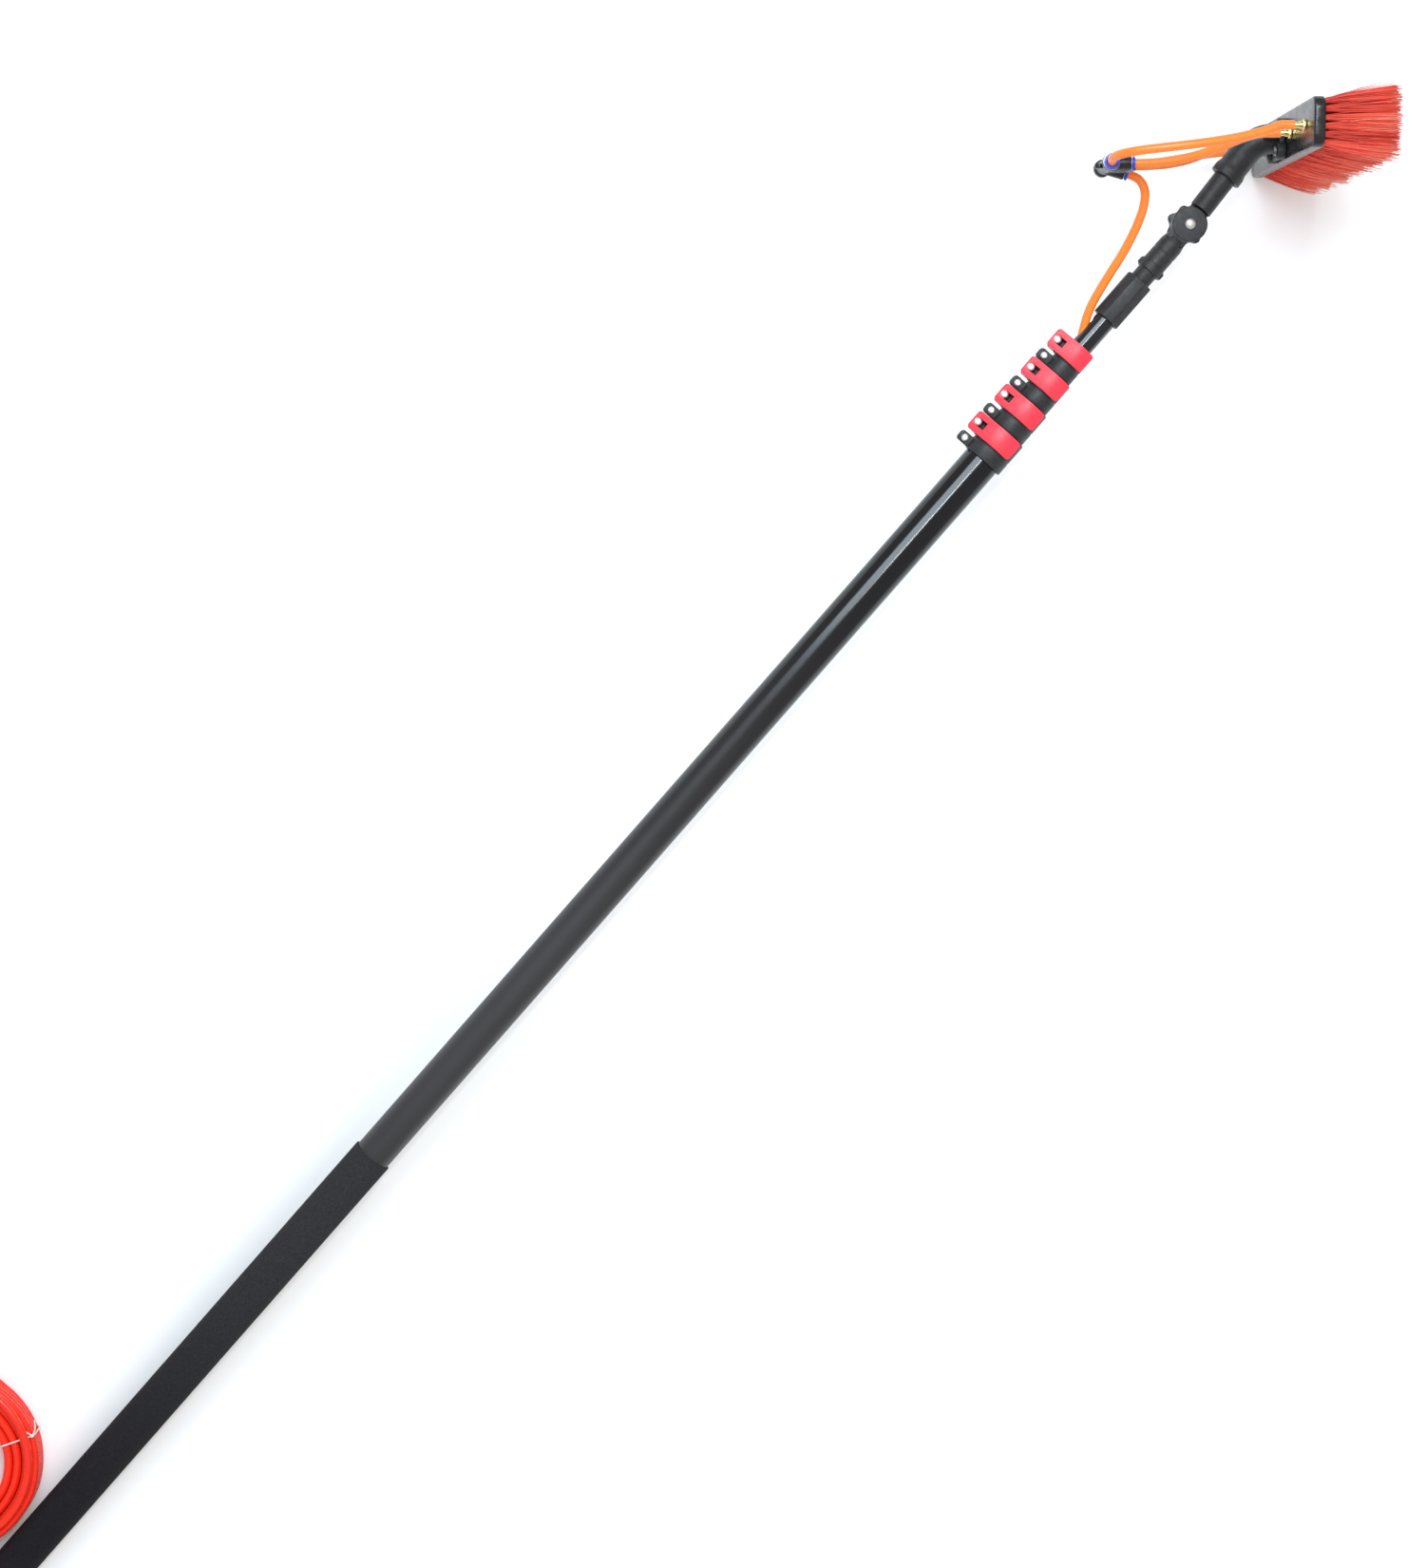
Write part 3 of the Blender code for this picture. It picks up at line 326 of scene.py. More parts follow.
def smooth_route(points, spacing):
    """Evenly spaced points on one smooth curve through the route's own points."""
    route = [Vector(p) for p in points]
    ends = [2 * route[0] - route[1], *route, 2 * route[-1] - route[-2]]
    fine = []
    for a, b, c, d in zip(ends, ends[1:], ends[2:], ends[3:]):
        for step in range(24):
            t = step / 24
            square, cube = 2 * a - 5 * b + 4 * c - d, 3 * b - a - 3 * c + d
            fine.append(0.5 * (2 * b + (c - a) * t + square * t**2 + cube * t**3))
    fine.append(route[-1])
    lengths = [0.0]
    for a, b in zip(fine, fine[1:]):
        lengths.append(lengths[-1] + (b - a).length)
    count = max(2, ceil(lengths[-1] / spacing))
    even, k = [], 0
    for i in range(count + 1):
        want = lengths[-1] * i / count
        while k < len(fine) - 2 and lengths[k + 1] < want:
            k += 1
        share = (want - lengths[k]) / (lengths[k + 1] - lengths[k])
        even.append(fine[k].lerp(fine[k + 1], min(max(share, 0), 1.0)))
    return even


def sweep(points, radius, sides=24):
    """A round tube with closed ends along the points."""
    work, rings, side = bmesh.new(), [], None
    for i, point in enumerate(points):
        way = (points[min(i + 1, len(points) - 1)] - points[max(i - 1, 0)]).normalized()
        side = (side or way.orthogonal()) - way * (side or way.orthogonal()).dot(way)
        side.normalize()
        other = way.cross(side)
        ring = []
        for k in range(sides):
            a = tau * k / sides
            ring.append(work.verts.new(point + (side * cos(a) + other * sin(a)) * radius))
        rings.append(ring)
    bridge(work, rings)
    work.faces.new(rings[0])
    work.faces.new(rings[-1])
    return finished(work)


# --- materials


def node(tree, kind, **inputs):
    made = tree.nodes.new("ShaderNode" + kind)
    for name, value in inputs.items():
        made.inputs[name.replace("_", " ")].default_value = value
    return made


def surface(
    name, colour, roughness, metallic=0.0, vary=0.25, vary_scale=60.0, grain=0.15, grain_scale=1400.0,
    rough_vary=0.08, stretch=(1, 1, 1), values=None
):
    """A moulded, foamed or turned surface: uneven colour and gloss, and a fine grain in its height."""
    made = bpy.data.materials.new(name)
    made.use_nodes = True
    tree = made.node_tree
    link = tree.links.new
    shader = tree.nodes["Principled BSDF"]
    shader.inputs["Metallic"].default_value = metallic
    for socket, value in (values or {}).items():
        shader.inputs[socket].default_value = value
    place = node(tree, "TexCoord")
    scale = node(tree, "Mapping", Scale=stretch)
    link(place.outputs["Object"], scale.inputs["Vector"])
    patches = node(tree, "TexNoise", Scale=vary_scale, Detail=6.0, Roughness=0.6)
    link(scale.outputs["Vector"], patches.inputs["Vector"])
    ramp = node(tree, "ValToRGB")
    dark, light = ramp.color_ramp.elements
    dark.position, light.position = 0.3, 0.7
    dark.color = (*[c * (1 - vary) for c in colour], 1)
    light.color = (*[min(1, c * (1 + vary)) for c in colour], 1)
    link(patches.outputs["Fac"], ramp.inputs["Fac"])
    link(ramp.outputs["Color"], shader.inputs["Base Color"])
    smears = node(tree, "TexNoise", Scale=vary_scale * 2.3, Detail=4.0)
    link(scale.outputs["Vector"], smears.inputs["Vector"])
    gloss = node(
        tree, "MapRange", From_Min=0.3, From_Max=0.7, To_Min=max(0.02, roughness - rough_vary),
        To_Max=min(1, roughness + rough_vary)
    )
    link(smears.outputs["Fac"], gloss.inputs["Value"])
    link(gloss.outputs["Result"], shader.inputs["Roughness"])
    if grain:
        grains = node(tree, "TexNoise", Scale=grain_scale, Detail=3.0)
        link(scale.outputs["Vector"], grains.inputs["Vector"])
        bump = node(tree, "Bump", Strength=grain, Distance=0.0003)
        link(grains.outputs["Fac"], bump.inputs["Height"])
        link(bump.outputs["Normal"], shader.inputs["Normal"])
    return made


def painted_light_along_x(made, low_x, high_x, low_colour, high_colour, low_rough, high_rough):
    """Fades a surface's colour along the pole as painted light and shade, and its gloss as well, from one
    place to another.
    """
    tree = made.node_tree
    link = tree.links.new
    shader = tree.nodes["Principled BSDF"]
    place = node(tree, "TexCoord")
    split = node(tree, "SeparateXYZ")
    link(place.outputs["Object"], split.inputs["Vector"])
    along = node(tree, "MapRange", From_Min=low_x, From_Max=high_x)
    along.interpolation_type = "SMOOTHSTEP"
    link(split.outputs["X"], along.inputs["Value"])
    fade = node(tree, "ValToRGB")
    fade.color_ramp.elements[0].color = (*low_colour, 1)
    fade.color_ramp.elements[1].color = (*high_colour, 1)
    link(along.outputs["Result"], fade.inputs["Fac"])
    mix_in(tree, fade, 1.0, "MULTIPLY")
    rough = node(tree, "MapRange", To_Min=low_rough, To_Max=high_rough)
    link(along.outputs["Result"], rough.inputs["Value"])
    added = node(tree, "Math")
    added.operation = "ADD"
    link(shader.inputs["Roughness"].links[0].from_socket, added.inputs[0])
    link(rough.outputs["Result"], added.inputs[1])
    link(added.outputs["Value"], shader.inputs["Roughness"])


def mix_in(tree, ramp, share, blend_type):
    """Mixes a ramp's colour into the one that the shader has so far."""
    base = tree.nodes["Principled BSDF"].inputs["Base Color"]
    mix = node(tree, "Mix")
    mix.data_type, mix.blend_type = "RGBA", blend_type
    mix.inputs["Factor"].default_value = share
    tree.links.new(base.links[0].from_socket, mix.inputs["A"])
    tree.links.new(ramp.outputs["Color"], mix.inputs["B"])
    tree.links.new(mix.outputs["Result"], base)


MATT = {"Specular IOR Level": 0.22}
HOSE_DEPTH = {"Subsurface Weight": 0.2, "Subsurface Radius": (0.006, 0.002, 0.0005)}

# each surface: colour, roughness and metallic share, then unevenness and grain, each with its scale
TUBE_BLACK = surface(
    "tube_black", (0.008, 0.008, 0.009), 0.16, 0, 0.3, 25, 0.01, rough_vary=0.02, stretch=(0.12, 1, 1),
    values={"Specular IOR Level": 0.4, "Coat Weight": 0.4, "Coat Roughness": 0.06}
)
OUTER_TUBE = surface(
    "outer_tube_black", (0.028, 0.027, 0.029), 0.1, 0, 0.15, 25, 0.02, rough_vary=0.03,
    stretch=(0.12, 1, 1), values={"Specular IOR Level": 0.5}
)
# painted light: the first tube's colour is a lighter satin grey towards the grip and near black towards the
# clamps, standing in for how the light falls along it; its gloss also rises towards the clamps
painted_light_along_x(OUTER_TUBE, FOOT_X + 0.80, FOOT_X + 1.36, (1, 1, 1), (0.12, 0.12, 0.12), 0.36, 0.05)
FOAM = surface("grip_foam", (0.020, 0.020, 0.023), 0.92, 0, 0.3, 500, 0.9, 2600, values=MATT)
# painted shade: the foam's colour darkens towards the grip's lower end and lightens towards its top, standing
# in for how the light falls off along it
painted_light_along_x(FOAM, FOOT_X + 0.12, FOOT_X + 0.55, (0.55, 0.5, 0.55), (1.25, 1.25, 1.2), 0, 0)
PLASTIC = surface(
    "moulded_black", (0.021, 0.021, 0.022), 0.44, 0, 0.35, 140, 0.35, 1800,
    values={"Specular IOR Level": 0.35}
)
BLOCK_BLACK = surface(
    "block_black", (0.012, 0.011, 0.012), 0.24, 0, 0.4, 70, 0.18, 700, rough_vary=0.07,
    values={"Specular IOR Level": 0.4}
)
KNOB_BLACK = surface("knob_black", (0.008, 0.008, 0.009), 0.34, 0, 0.3, 160, 0.2)
LEVER_RED = surface(
    "lever_crimson", (0.78, 0.036, 0.060), 0.40, 0, 0.07, 260, 0.35, 1500,
    values={"Subsurface Weight": 0.08, "Subsurface Radius": (0.004, 0.001, 0.001)}
)
STEEL = surface("stainless", (0.86, 0.86, 0.88), 0.42, 0.85, 0.08, 900, 0.1, 5000)
ZINC = surface("zinc_plate", (0.60, 0.58, 0.53), 0.48, 0.8, 0.12, 700, 0.15, 4000)
DARK_STEEL = surface("dark_steel", (0.20, 0.20, 0.21), 0.34, 0.9, 0.15, 700, 0.1, 4000)
ALUMINIUM = surface("bare_aluminium", (0.8, 0.81, 0.83), 0.3, 1.0, 0.1, 700, 0.2, 4000)
BRASS = surface("brass", (0.80, 0.56, 0.22), 0.27, 1.0, 0.2, 600, 0.15, 3000)
BLUE = surface("collet_blue", (0.035, 0.055, 0.45), 0.3, 0, 0.15, 300, 0.1)
HOSE_ORANGE = surface(
    "hose_orange", (0.86, 0.20, 0.024), 0.30, 0, 0.04, 60, 0.03, rough_vary=0.05, values=HOSE_DEPTH
)
COIL_RED = surface(
    "coil_red_orange", (0.85, 0.024, 0.007), 0.28, 0, 0.06, 60, 0.03, rough_vary=0.05, values=HOSE_DEPTH
)
RUBBER = surface("rubber", (0.012, 0.012, 0.013), 0.7, 0, 0.3, 300, 0.4, values=MATT)
CORD_WHITE = surface("tie_cord", (0.75, 0.72, 0.68), 0.8, 0, 0.15, 2000, 0.8, 4000)


def bristle_surface():
    """Nylon filament: each strand varies in colour at random, and painted shade makes it darker and redder
    towards its root.
    """
    made = surface(
        "bristle_nylon", (0.8, 0.07, 0.03), 0.42, 0, 0.1, 400, 0,
        values={"Subsurface Weight": 0.15, "Subsurface Radius": (0.003, 0.0008, 0.0004)}
    )
    tree = made.node_tree
    tone_with_painted_light = node(tree, "Attribute")
    tone_with_painted_light.attribute_name = "tone_with_painted_light"
    # the ramp's dark end is the painted shade at the strands' roots
    ramp = node(tree, "ValToRGB")
    root, tip = ramp.color_ramp.elements
    root.color, tip.color = (0.50, 0.018, 0.012, 1), (1.0, 0.46, 0.34, 1)
    ramp.color_ramp.elements.new(0.5).color = (1.0, 0.12, 0.07, 1)
    tree.links.new(tone_with_painted_light.outputs["Fac"], ramp.inputs["Fac"])
    mix_in(tree, ramp, 0.85, "MIX")
    return made


BRISTLE = bristle_surface()


# --- pieces


def add(name, mesh, finish, body, place=None, replaced=(), smooth=35.0):
    """A piece in its place, riding on its CAD body."""
    if place is not None:
        mesh.transform(place)
    mesh.shade_smooth()
    mesh.set_sharp_from_angle(angle=radians(smooth))
    mesh.materials.clear()
    mesh.materials.append(finish)
    obj = new_object(name, mesh)
    replaced = [replaced] if isinstance(replaced, str) else list(replaced)
    if body:
        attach(obj, body)
    if replaced:
        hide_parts(*replaced)
    return obj


def finer(node_name, mesh, finish, body, place=None, smooth=35.0):
    """A finer shape that stands for one CAD node."""
    return add(f"{node_name}.fine", mesh, finish, body, place, node_name, smooth=smooth)


def repaint(node_name, finish):
    """A CAD node whose shape is right keeps it, with a better material."""
    mesh = frame["nodes"][node_name].data
    mesh.materials.clear()
    mesh.materials.append(finish)


def section_body(k):
    return "pole_base" if k == 1 else f"pole_section_{k}"


# --- camera and light

CAMERA_HEADING = radians(48.954)
LOOK_BACK, LOOK_ACROSS = 0.0516, 0.0499  # per metre of looking down
CAMERA_LENS = 70.53
CAMERA_AT = (1.09359, 0.19013, 2.8915)  # from the pole's foot on the floor


def make_camera():
    """Over the pole's middle, looking down; the pole runs from the lower left to the upper right."""
    across = Vector((cos(CAMERA_HEADING), -sin(CAMERA_HEADING), 0))
    upwards = Vector((sin(CAMERA_HEADING), cos(CAMERA_HEADING), 0))
    look = (Vector((0, 0, -1)) - LOOK_BACK * upwards + LOOK_ACROSS * across).normalized()
    right = look.cross(upwards).normalized()
    top = right.cross(look)
    data = bpy.data.cameras.new("camera")
    data.lens, data.sensor_width = CAMERA_LENS, 36
    camera = new_object("camera", data)
    turn = Matrix((right, top, -look)).transposed().to_4x4()
    turn.translation = FLOOR.translation + Vector(CAMERA_AT)
    camera.matrix_world = turn
    bpy.context.scene.camera = camera


def area_light(name, at, towards, size, power, colour=(1, 1, 1)):
    """A rectangular light whose first side stays along X."""
    data = bpy.data.lights.new(name, "AREA")
    data.shape, data.size, data.size_y = "RECTANGLE", size[0], size[1]
    data.energy, data.color = power, colour
    light = new_object(name, data)
    back = (Vector(at) - Vector(towards)).normalized()
    light.matrix_world = basis(Vector(at), Vector((1, 0, 0)) - back * back.x, back)
    return light


def make_studio():
    world = bpy.data.worlds.new("studio")
    bpy.context.scene.world = world
    world.use_nodes = True
    sky = world.node_tree.nodes["Background"].inputs
    sky["Color"].default_value, sky["Strength"].default_value = (0.95, 0.97, 1.0, 1), 0.5
    bpy.context.scene.view_settings.view_transform = "Standard"
    # a broad soft box and a narrow bright strip, side by side over the pole's upper half
    area_light("soft_box", (1.05, 1.2, 2.45), (0.9, 0.0, 0.1), (1.3, 1.5), 50, (0.76, 0.90, 1.0))
    area_light("strip", (1.15, 0.36, 2.85), (0.95, 0.0, 0.1), (1.1, 0.12), 24, (0.90, 0.97, 1.0))
    fill = area_light("fill", (-0.2, -0.9, 3.2), (0, 0.0, 0), (3.4, 2.8), 62, (1.0, 0.99, 0.97))
    fill.visible_glossy = False
    floor = prism([(-6, -6), (6, -6), (6, 6), (-6, 6)], -0.02, 0)
    ground = surface("pale_floor", (0.92, 0.92, 0.92), 0.85, 0, 0.01, 3, 0.02, 200)
    add("floor", floor, ground, None)


# --- tubes, grip and end cap


def tube_ends(k):
    start = CAP_LENGTH + GAP if k == 1 else FIRST_BUSH + BUSH_PITCH * (k - 2) + BUSH_FLANGE
    end = TUBE_5_END if k == 5 else CLAMP_START + CLAMP_PITCH * (k - 1) + TUBE_IN_CLAMP
    return start, end


def make_tubes():
    for k, radius in enumerate(TUBE_RADII, 1):
        start, end = tube_ends(k)
        mesh = along_x(pipe(radius, radius - TUBE_WALL, start, end, 96, 0.25 * MM))
        if k == 5:
            half = (SLOT_END - SLOT_START) / 2
            outline = rounded_rectangle(SLOT_HALF_WIDTH, half, SLOT_HALF_WIDTH - 0.01 * MM, 14)
            slot = prism(outline, radius - 4 * MM, radius + 4 * MM)
            middle = (SLOT_START + SLOT_END) / 2
            slot.transform(Matrix(((0, 1, 0, middle), (0, 0, 1, 0), (1, 0, 0, 0), (0, 0, 0, 1))))
            mesh = carved(mesh, cut=[slot])
        tube = finer(f"tube_section_{k}", mesh, OUTER_TUBE if k == 1 else TUBE_BLACK, section_body(k), POLE)
        bare_cut_faces(tube, radius)
    for k in range(2, 6):
        repaint(f"glide_bush_{k}", PLASTIC)


def bare_cut_faces(tube, radius):
    """The slot's cut wall, and the tube's inside, are bare aluminium."""
    mesh = tube.data
    mesh.materials.append(ALUMINIUM)
    back = POLE.inverted()
    for face in mesh.polygons:
        spots = [back @ mesh.vertices[v].co for v in face.vertices]
        if min(hypot(p.y, p.z) for p in spots) < radius - 0.1 * MM:
            face.material_index = 1


def make_grip():
    mesh = pipe(GRIP_RADIUS, TUBE_RADII[0] + FINE_GAP, CAP_LENGTH + GAP, GRIP_END, 96, 0.9 * MM)
    finer("grip_sleeve", along_x(mesh), FOAM, "pole_base", POLE)


def make_end_cap():
    plug, bore = TUBE_RADII[0] - TUBE_WALL - GAP, 6.8 * MM
    recess, depth = 9 * MM, 2.8 * MM
    rib = 0.5 * MM
    profile = [
        (plug, 26 * MM), (plug, CAP_LENGTH), (CAP_RADIUS, CAP_LENGTH), (CAP_RADIUS, 4.2 * MM),
        (CAP_RADIUS - rib, 3.9 * MM), (CAP_RADIUS - rib, 3.3 * MM), (CAP_RADIUS, 3 * MM), (CAP_RADIUS, 0),
        (recess, 0), (recess, depth), (bore, depth), (bore, 26 * MM)
    ]
    finer("end_cap", along_x(lathe(profile, 80, 0.8 * MM)), RUBBER, "pole_base", POLE)
    lip, neck, hole = recess - 0.4 * MM, bore - GAP, HOSE_RADIUS + GAP
    high, low = depth - GAP, GAP
    profile = [(neck, 9 * MM), (neck, high), (lip, high), (lip, low), (hole, low), (hole, 9 * MM)]
    finer("hose_grommet", along_x(lathe(profile, 48, 0.5 * MM)), RUBBER, "pole_base", POLE)


# --- clamps


def clamp_sizes(k):
    radius = TUBE_RADII[k - 1]
    pin = PIN_OUT + PIN_OUT_PER_RADIUS * (radius - TUBE_RADII[0])
    return radius, pin, pin + LUG_PAST_PIN


def clamp_frame(k):
    return POLE @ shift((CLAMP_START + CLAMP_PITCH * (k - 1), 0, 0))


def collar_mesh(k):
    radius, pin, reach = clamp_sizes(k)
    outer, inner, over_tube = radius + CLAMP_WALL, TUBE_RADII[k] + GAP, radius + FINE_GAP
    groove = 0.4 * MM
    profile = [
        (outer - 0.5 * MM, CLAMP_LENGTH), (outer, CLAMP_LENGTH - MM), (outer, REAR_BAND + 0.9 * MM),
        (outer - groove, REAR_BAND + 0.5 * MM), (outer - groove, REAR_BAND - 0.1 * MM),
        (outer, REAR_BAND - 0.5 * MM), (outer, 0), (over_tube, 0), (over_tube, REAR_BAND),
        (inner, REAR_BAND), (inner, CLAMP_LENGTH)
    ]
    ring = along_x(lathe(profile, 80, 0.5 * MM))
    low, high = LEVER_MIDDLE - LEVER_HALF, LEVER_MIDDLE + LEVER_HALF
    root = radius + 0.7 * MM
    ear_top = PIN_HEIGHT - CAM_RADIUS - GAP
    lug_half = (reach - root) / 2
    lug = prism(
        rounded_rectangle(5 * MM, lug_half + 2 * MM, 3 * MM, 6, (5.4 * MM, root + lug_half - 2 * MM)),
        -5.1 * MM, 5.1 * MM
    )
    wall = box((low, root - 1.5 * MM, -8.2 * MM), (high, pin - 5.6 * MM, 6.1 * MM))
    ear_reach = pin + 2 * MM
    section = [
        (root, -7.8 * MM), (ear_reach, -7.8 * MM), (ear_reach, ear_top - 1.9 * MM),
        (pin + 0.2 * MM, ear_top), (root, ear_top)
    ]
    ears = prism(section, low + 0.4 * MM, high - 0.4 * MM)
    ears.transform(ACROSS)
    lug = carved(lug, bevel=0.6 * MM, segments=3, angle=60)
    ears = carved(ears, bevel=0.5 * MM, angle=60)
    return carved(
        ring, joined=[lug, wall, ears],
        cut=[
            rod_along_x(over_tube, -MM, REAR_BAND), rod_along_x(inner, REAR_BAND - MM, CLAMP_LENGTH + MM),
            box(
                (REAR_BAND + 0.5 * MM, TUBE_RADII[k] - 3 * MM, -4.4 * MM),
                (CLAMP_LENGTH + MM, reach + 4 * MM, -2.9 * MM)
            ),
            box((-MM, radius - 2 * MM, -0.7 * MM), (REAR_BAND - 1.2 * MM, reach + 4 * MM, 0.7 * MM)),
            moved(rod(1.5 * MM, -12 * MM, 9 * MM, 24, 0), (LEVER_MIDDLE, pin, 0)),
            moved(rod(1.6 * MM, -9 * MM, 9 * MM, 24, 0), (LUG_SCREW_X, pin - LUG_SCREW_IN, 0))
        ]
    )


def rod_along_x(radius, low, high, sides=80):
    return along_x(rod(radius, low, high, sides, 0))


def lever_mesh(k):
    """Finger lip, curved plate and cam, about the barrel's axis; X runs along the pole and Z is up."""
    radius, pin, _ = clamp_sizes(k)
    inner = radius + CLAMP_WALL + 0.5 * MM
    outer = inner + LEVER_THICK
    middle = Vector((pin, PIN_HEIGHT))
    over = Vector((pin, PIN_HEIGHT + LEVER_LIFT))
    lean = atan2(over.x, over.y) - acos(inner / over.length)
    slope = Vector((cos(lean), -sin(lean)))
    rise = Vector((sin(lean), cos(lean))) * LEVER_THICK
    first, last = 90 - lean * 180 / pi, LIP_ANGLE
    tip = Vector((cos(radians(last)), sin(radians(last))))
    away = Vector((-tip.y, tip.x)) * 5.5 * MM
    points = [over + slope * LEVER_END, over + slope * LEVER_END + rise]
    points += [Vector(p) for p in arc((0, 0), outer, first, last, 28)]
    points += [
        tip * (outer + 0.3 * MM) + away * 0.6, tip * (outer + 0.9 * MM) + away,
        tip * (inner + 1.2 * MM) + away
    ]
    points += [Vector(p) for p in arc((0, 0), inner, last, first, 28)]
    points += [middle + Vector((-CAM_RADIUS, LEVER_LIFT))]
    points += [Vector(p) for p in arc(middle, CAM_RADIUS, 190, 350, 16)]
    points = [p - middle for p in points]
    mesh = prism(points, -LEVER_HALF, LEVER_HALF)
    mesh.transform(ACROSS)
    low, high = min(p.x for p in points), max(p.x for p in points)
    plan = prism(
        rounded_rectangle(LEVER_HALF, (high - low) / 2, 3.2 * MM, 8, (0, (low + high) / 2)), -0.05, 0.05
    )
    return carved(
        mesh, kept=[plan],
        cut=[
            box((-SCREW_WINDOW, -WINDOW_REACH, -8 * MM), (SCREW_WINDOW, 0.0, 14 * MM)),
            rod(SCREW_WINDOW, -8 * MM, 14 * MM, 48, 0),
            box((-SCREW_SLIT, -2 * MM, -9 * MM), (SCREW_SLIT, 12 * MM, 1.35 * MM)),
            rod_along_x(PIN_RADIUS + 0.1 * MM, -LEVER_HALF - MM, LEVER_HALF + MM, 32)
        ],
        bevel=0.45 * MM
    )


def socket_screw(head, low, high, shank, foot, nut=None, sides=40):
    """A button-head screw with a hex socket, its middle line along Z."""
    profile = [(0, high), (head * 0.62, high), (head, high - 1.1 * MM), (head, low), (shank, low)]
    if nut:
        profile += [(shank, foot), (nut, foot), (nut, foot - 2.5 * MM), (0, foot - 2.5 * MM)]
    else:
        profile += [(shank, foot), (0, foot)]
    socket = prism(polygon(6, head * 0.42), high - 1.4 * MM, high + MM)
    return carved(lathe(profile, sides, 0.35 * MM), cut=[socket])


def make_clamps():
    for k in range(1, 5):
        _, pin, _ = clamp_sizes(k)
        place, body = clamp_frame(k), section_body(k)
        finer(f"clamp_{k}_collar", collar_mesh(k), PLASTIC, body, place)
        at_pin = place @ shift((LEVER_MIDDLE, pin, PIN_HEIGHT))
        finer(f"clamp_{k}_lever", lever_mesh(k), LEVER_RED, f"lever_{k}", at_pin)
        low, high = PIN_HEIGHT + PIN_RADIUS + 0.1 * MM, PIN_HEIGHT + SCREW_TOP
        screw = socket_screw(3.5 * MM, low, high, 1.1 * MM, -8.1 * MM, 3 * MM)
        at_screw = place @ shift((LEVER_MIDDLE, pin, 0))
        finer(f"clamp_{k}_tension_screw", screw, STEEL, body, at_screw)
        lug_screw = socket_screw(3.3 * MM, 5.2 * MM, 7.8 * MM, 1.4 * MM, -5.2 * MM, 2.9 * MM)
        at_lug = place @ shift((LUG_SCREW_X, pin - LUG_SCREW_IN, 0))
        add(f"clamp_{k}_lug_screw", lug_screw, STEEL, body, at_lug)
        repaint(f"clamp_{k}_hinge_pin", STEEL)


# --- knuckle


def make_knuckle():
    outline = polygon(8, NUT_HALF_WIDTH / cos(pi / 8), pi / 8)
    nut = carved(prism(fillet(outline, 1.2 * MM), -23 * MM, 23 * MM), bevel=0.9 * MM, segments=3, angle=60)
    nut = carved(nut, cut=[rod(TUBE_RADII[4] + GAP, -30 * MM, 30 * MM, 64, 0)])
    finer("head_lock_nut", along_x(nut), PLASTIC, "lock_nut", POLE @ shift((NUT_MIDDLE, 0, 0)))

    stem = TUBE_RADII[4] - TUBE_WALL - FINE_GAP
    profile = [
        (0, -ARM_START), (9.6 * MM, -ARM_START), mm(11.2, -24), mm(11.2, -33), mm(10.8, -33.4),
        mm(10.8, -34.4), mm(11.2, -34.8), mm(11.2, -47), mm(11.9, -47), mm(11.9, -55), mm(9.7, -55),
        mm(9.7, -79.6), (stem, -79.6 * MM), (stem, -105 * MM), (0, -105 * MM)
    ]
    lower = along_x(lathe(profile, 72, 0.5 * MM))
    lugs = carved(box(mm(-54, -13.1, -3), mm(-48, 13.1, 3)), bevel=0.8 * MM)
    web = carved(box(mm(-21, -9.2, 0.2), (-6 * MM, 9.2 * MM, EAR_THICK - 0.4 * MM)), bevel=0.6 * MM)
    lower = carved(
        lower, joined=[rod(EAR_RADIUS, 0.2 * MM, EAR_THICK, 96, 1.2 * MM), web, lugs],
        cut=[rod(3.3 * MM, -2 * MM, 12 * MM, 40, 0), *teeth(0.2 * MM)]
    )
    finer("knuckle_lower", lower, PLASTIC, "pole_section_5", AT_KNUCKLE)

    arm = along_x(rod(ARM_RADIUS, ARM_START, ARM_END, 72, 0.8 * MM))
    web = carved(box((6 * MM, -9 * MM, -EAR_THICK + 0.4 * MM), mm(21, 9, -0.2)), bevel=0.6 * MM)
    upper = carved(
        arm, joined=[rod(EAR_RADIUS - 0.3 * MM, -EAR_THICK, -0.2 * MM, 96, 1.2 * MM), web],
        cut=[rod(3.3 * MM, -12 * MM, 2 * MM, 40, 0), *teeth(-0.2 * MM)]
    )
    finer("knuckle_upper", upper, PLASTIC, "head", STEM)

    head, top = 4.8 * MM, EAR_THICK + GAP
    dome = [
        (head * cos(radians(a)), top + 0.9 * MM + 2.2 * MM * sin(radians(a)))
        for a in (80, 65, 50, 35, 20, 8)
    ]
    profile = [
        (0, top + 3.1 * MM), *dome, (head, top), (BOLT_RADIUS, top), (BOLT_RADIUS, -21.5 * MM),
        (0, -21.5 * MM)
    ]
    finer("knuckle_bolt", lathe(profile, 56, 0.2 * MM), ZINC, "pole_section_5", AT_KNUCKLE)
    make_star_knob()


def teeth(height, count=28):
    """Small notches round the ears' meeting edge, where the two serrated faces grip each other."""
    together = bmesh.new()
    for i in range(count):
        a = tau * (i + 0.5) / count
        notch = box((EAR_RADIUS - 1.6 * MM, -0.55 * MM, -0.9 * MM), (EAR_RADIUS + MM, 0.55 * MM, 0.9 * MM))
        notch.transform(shift((0, 0, height)) @ Matrix.Rotation(a, 4, "Z"))
        together.from_mesh(notch)
    return [finished(together)]


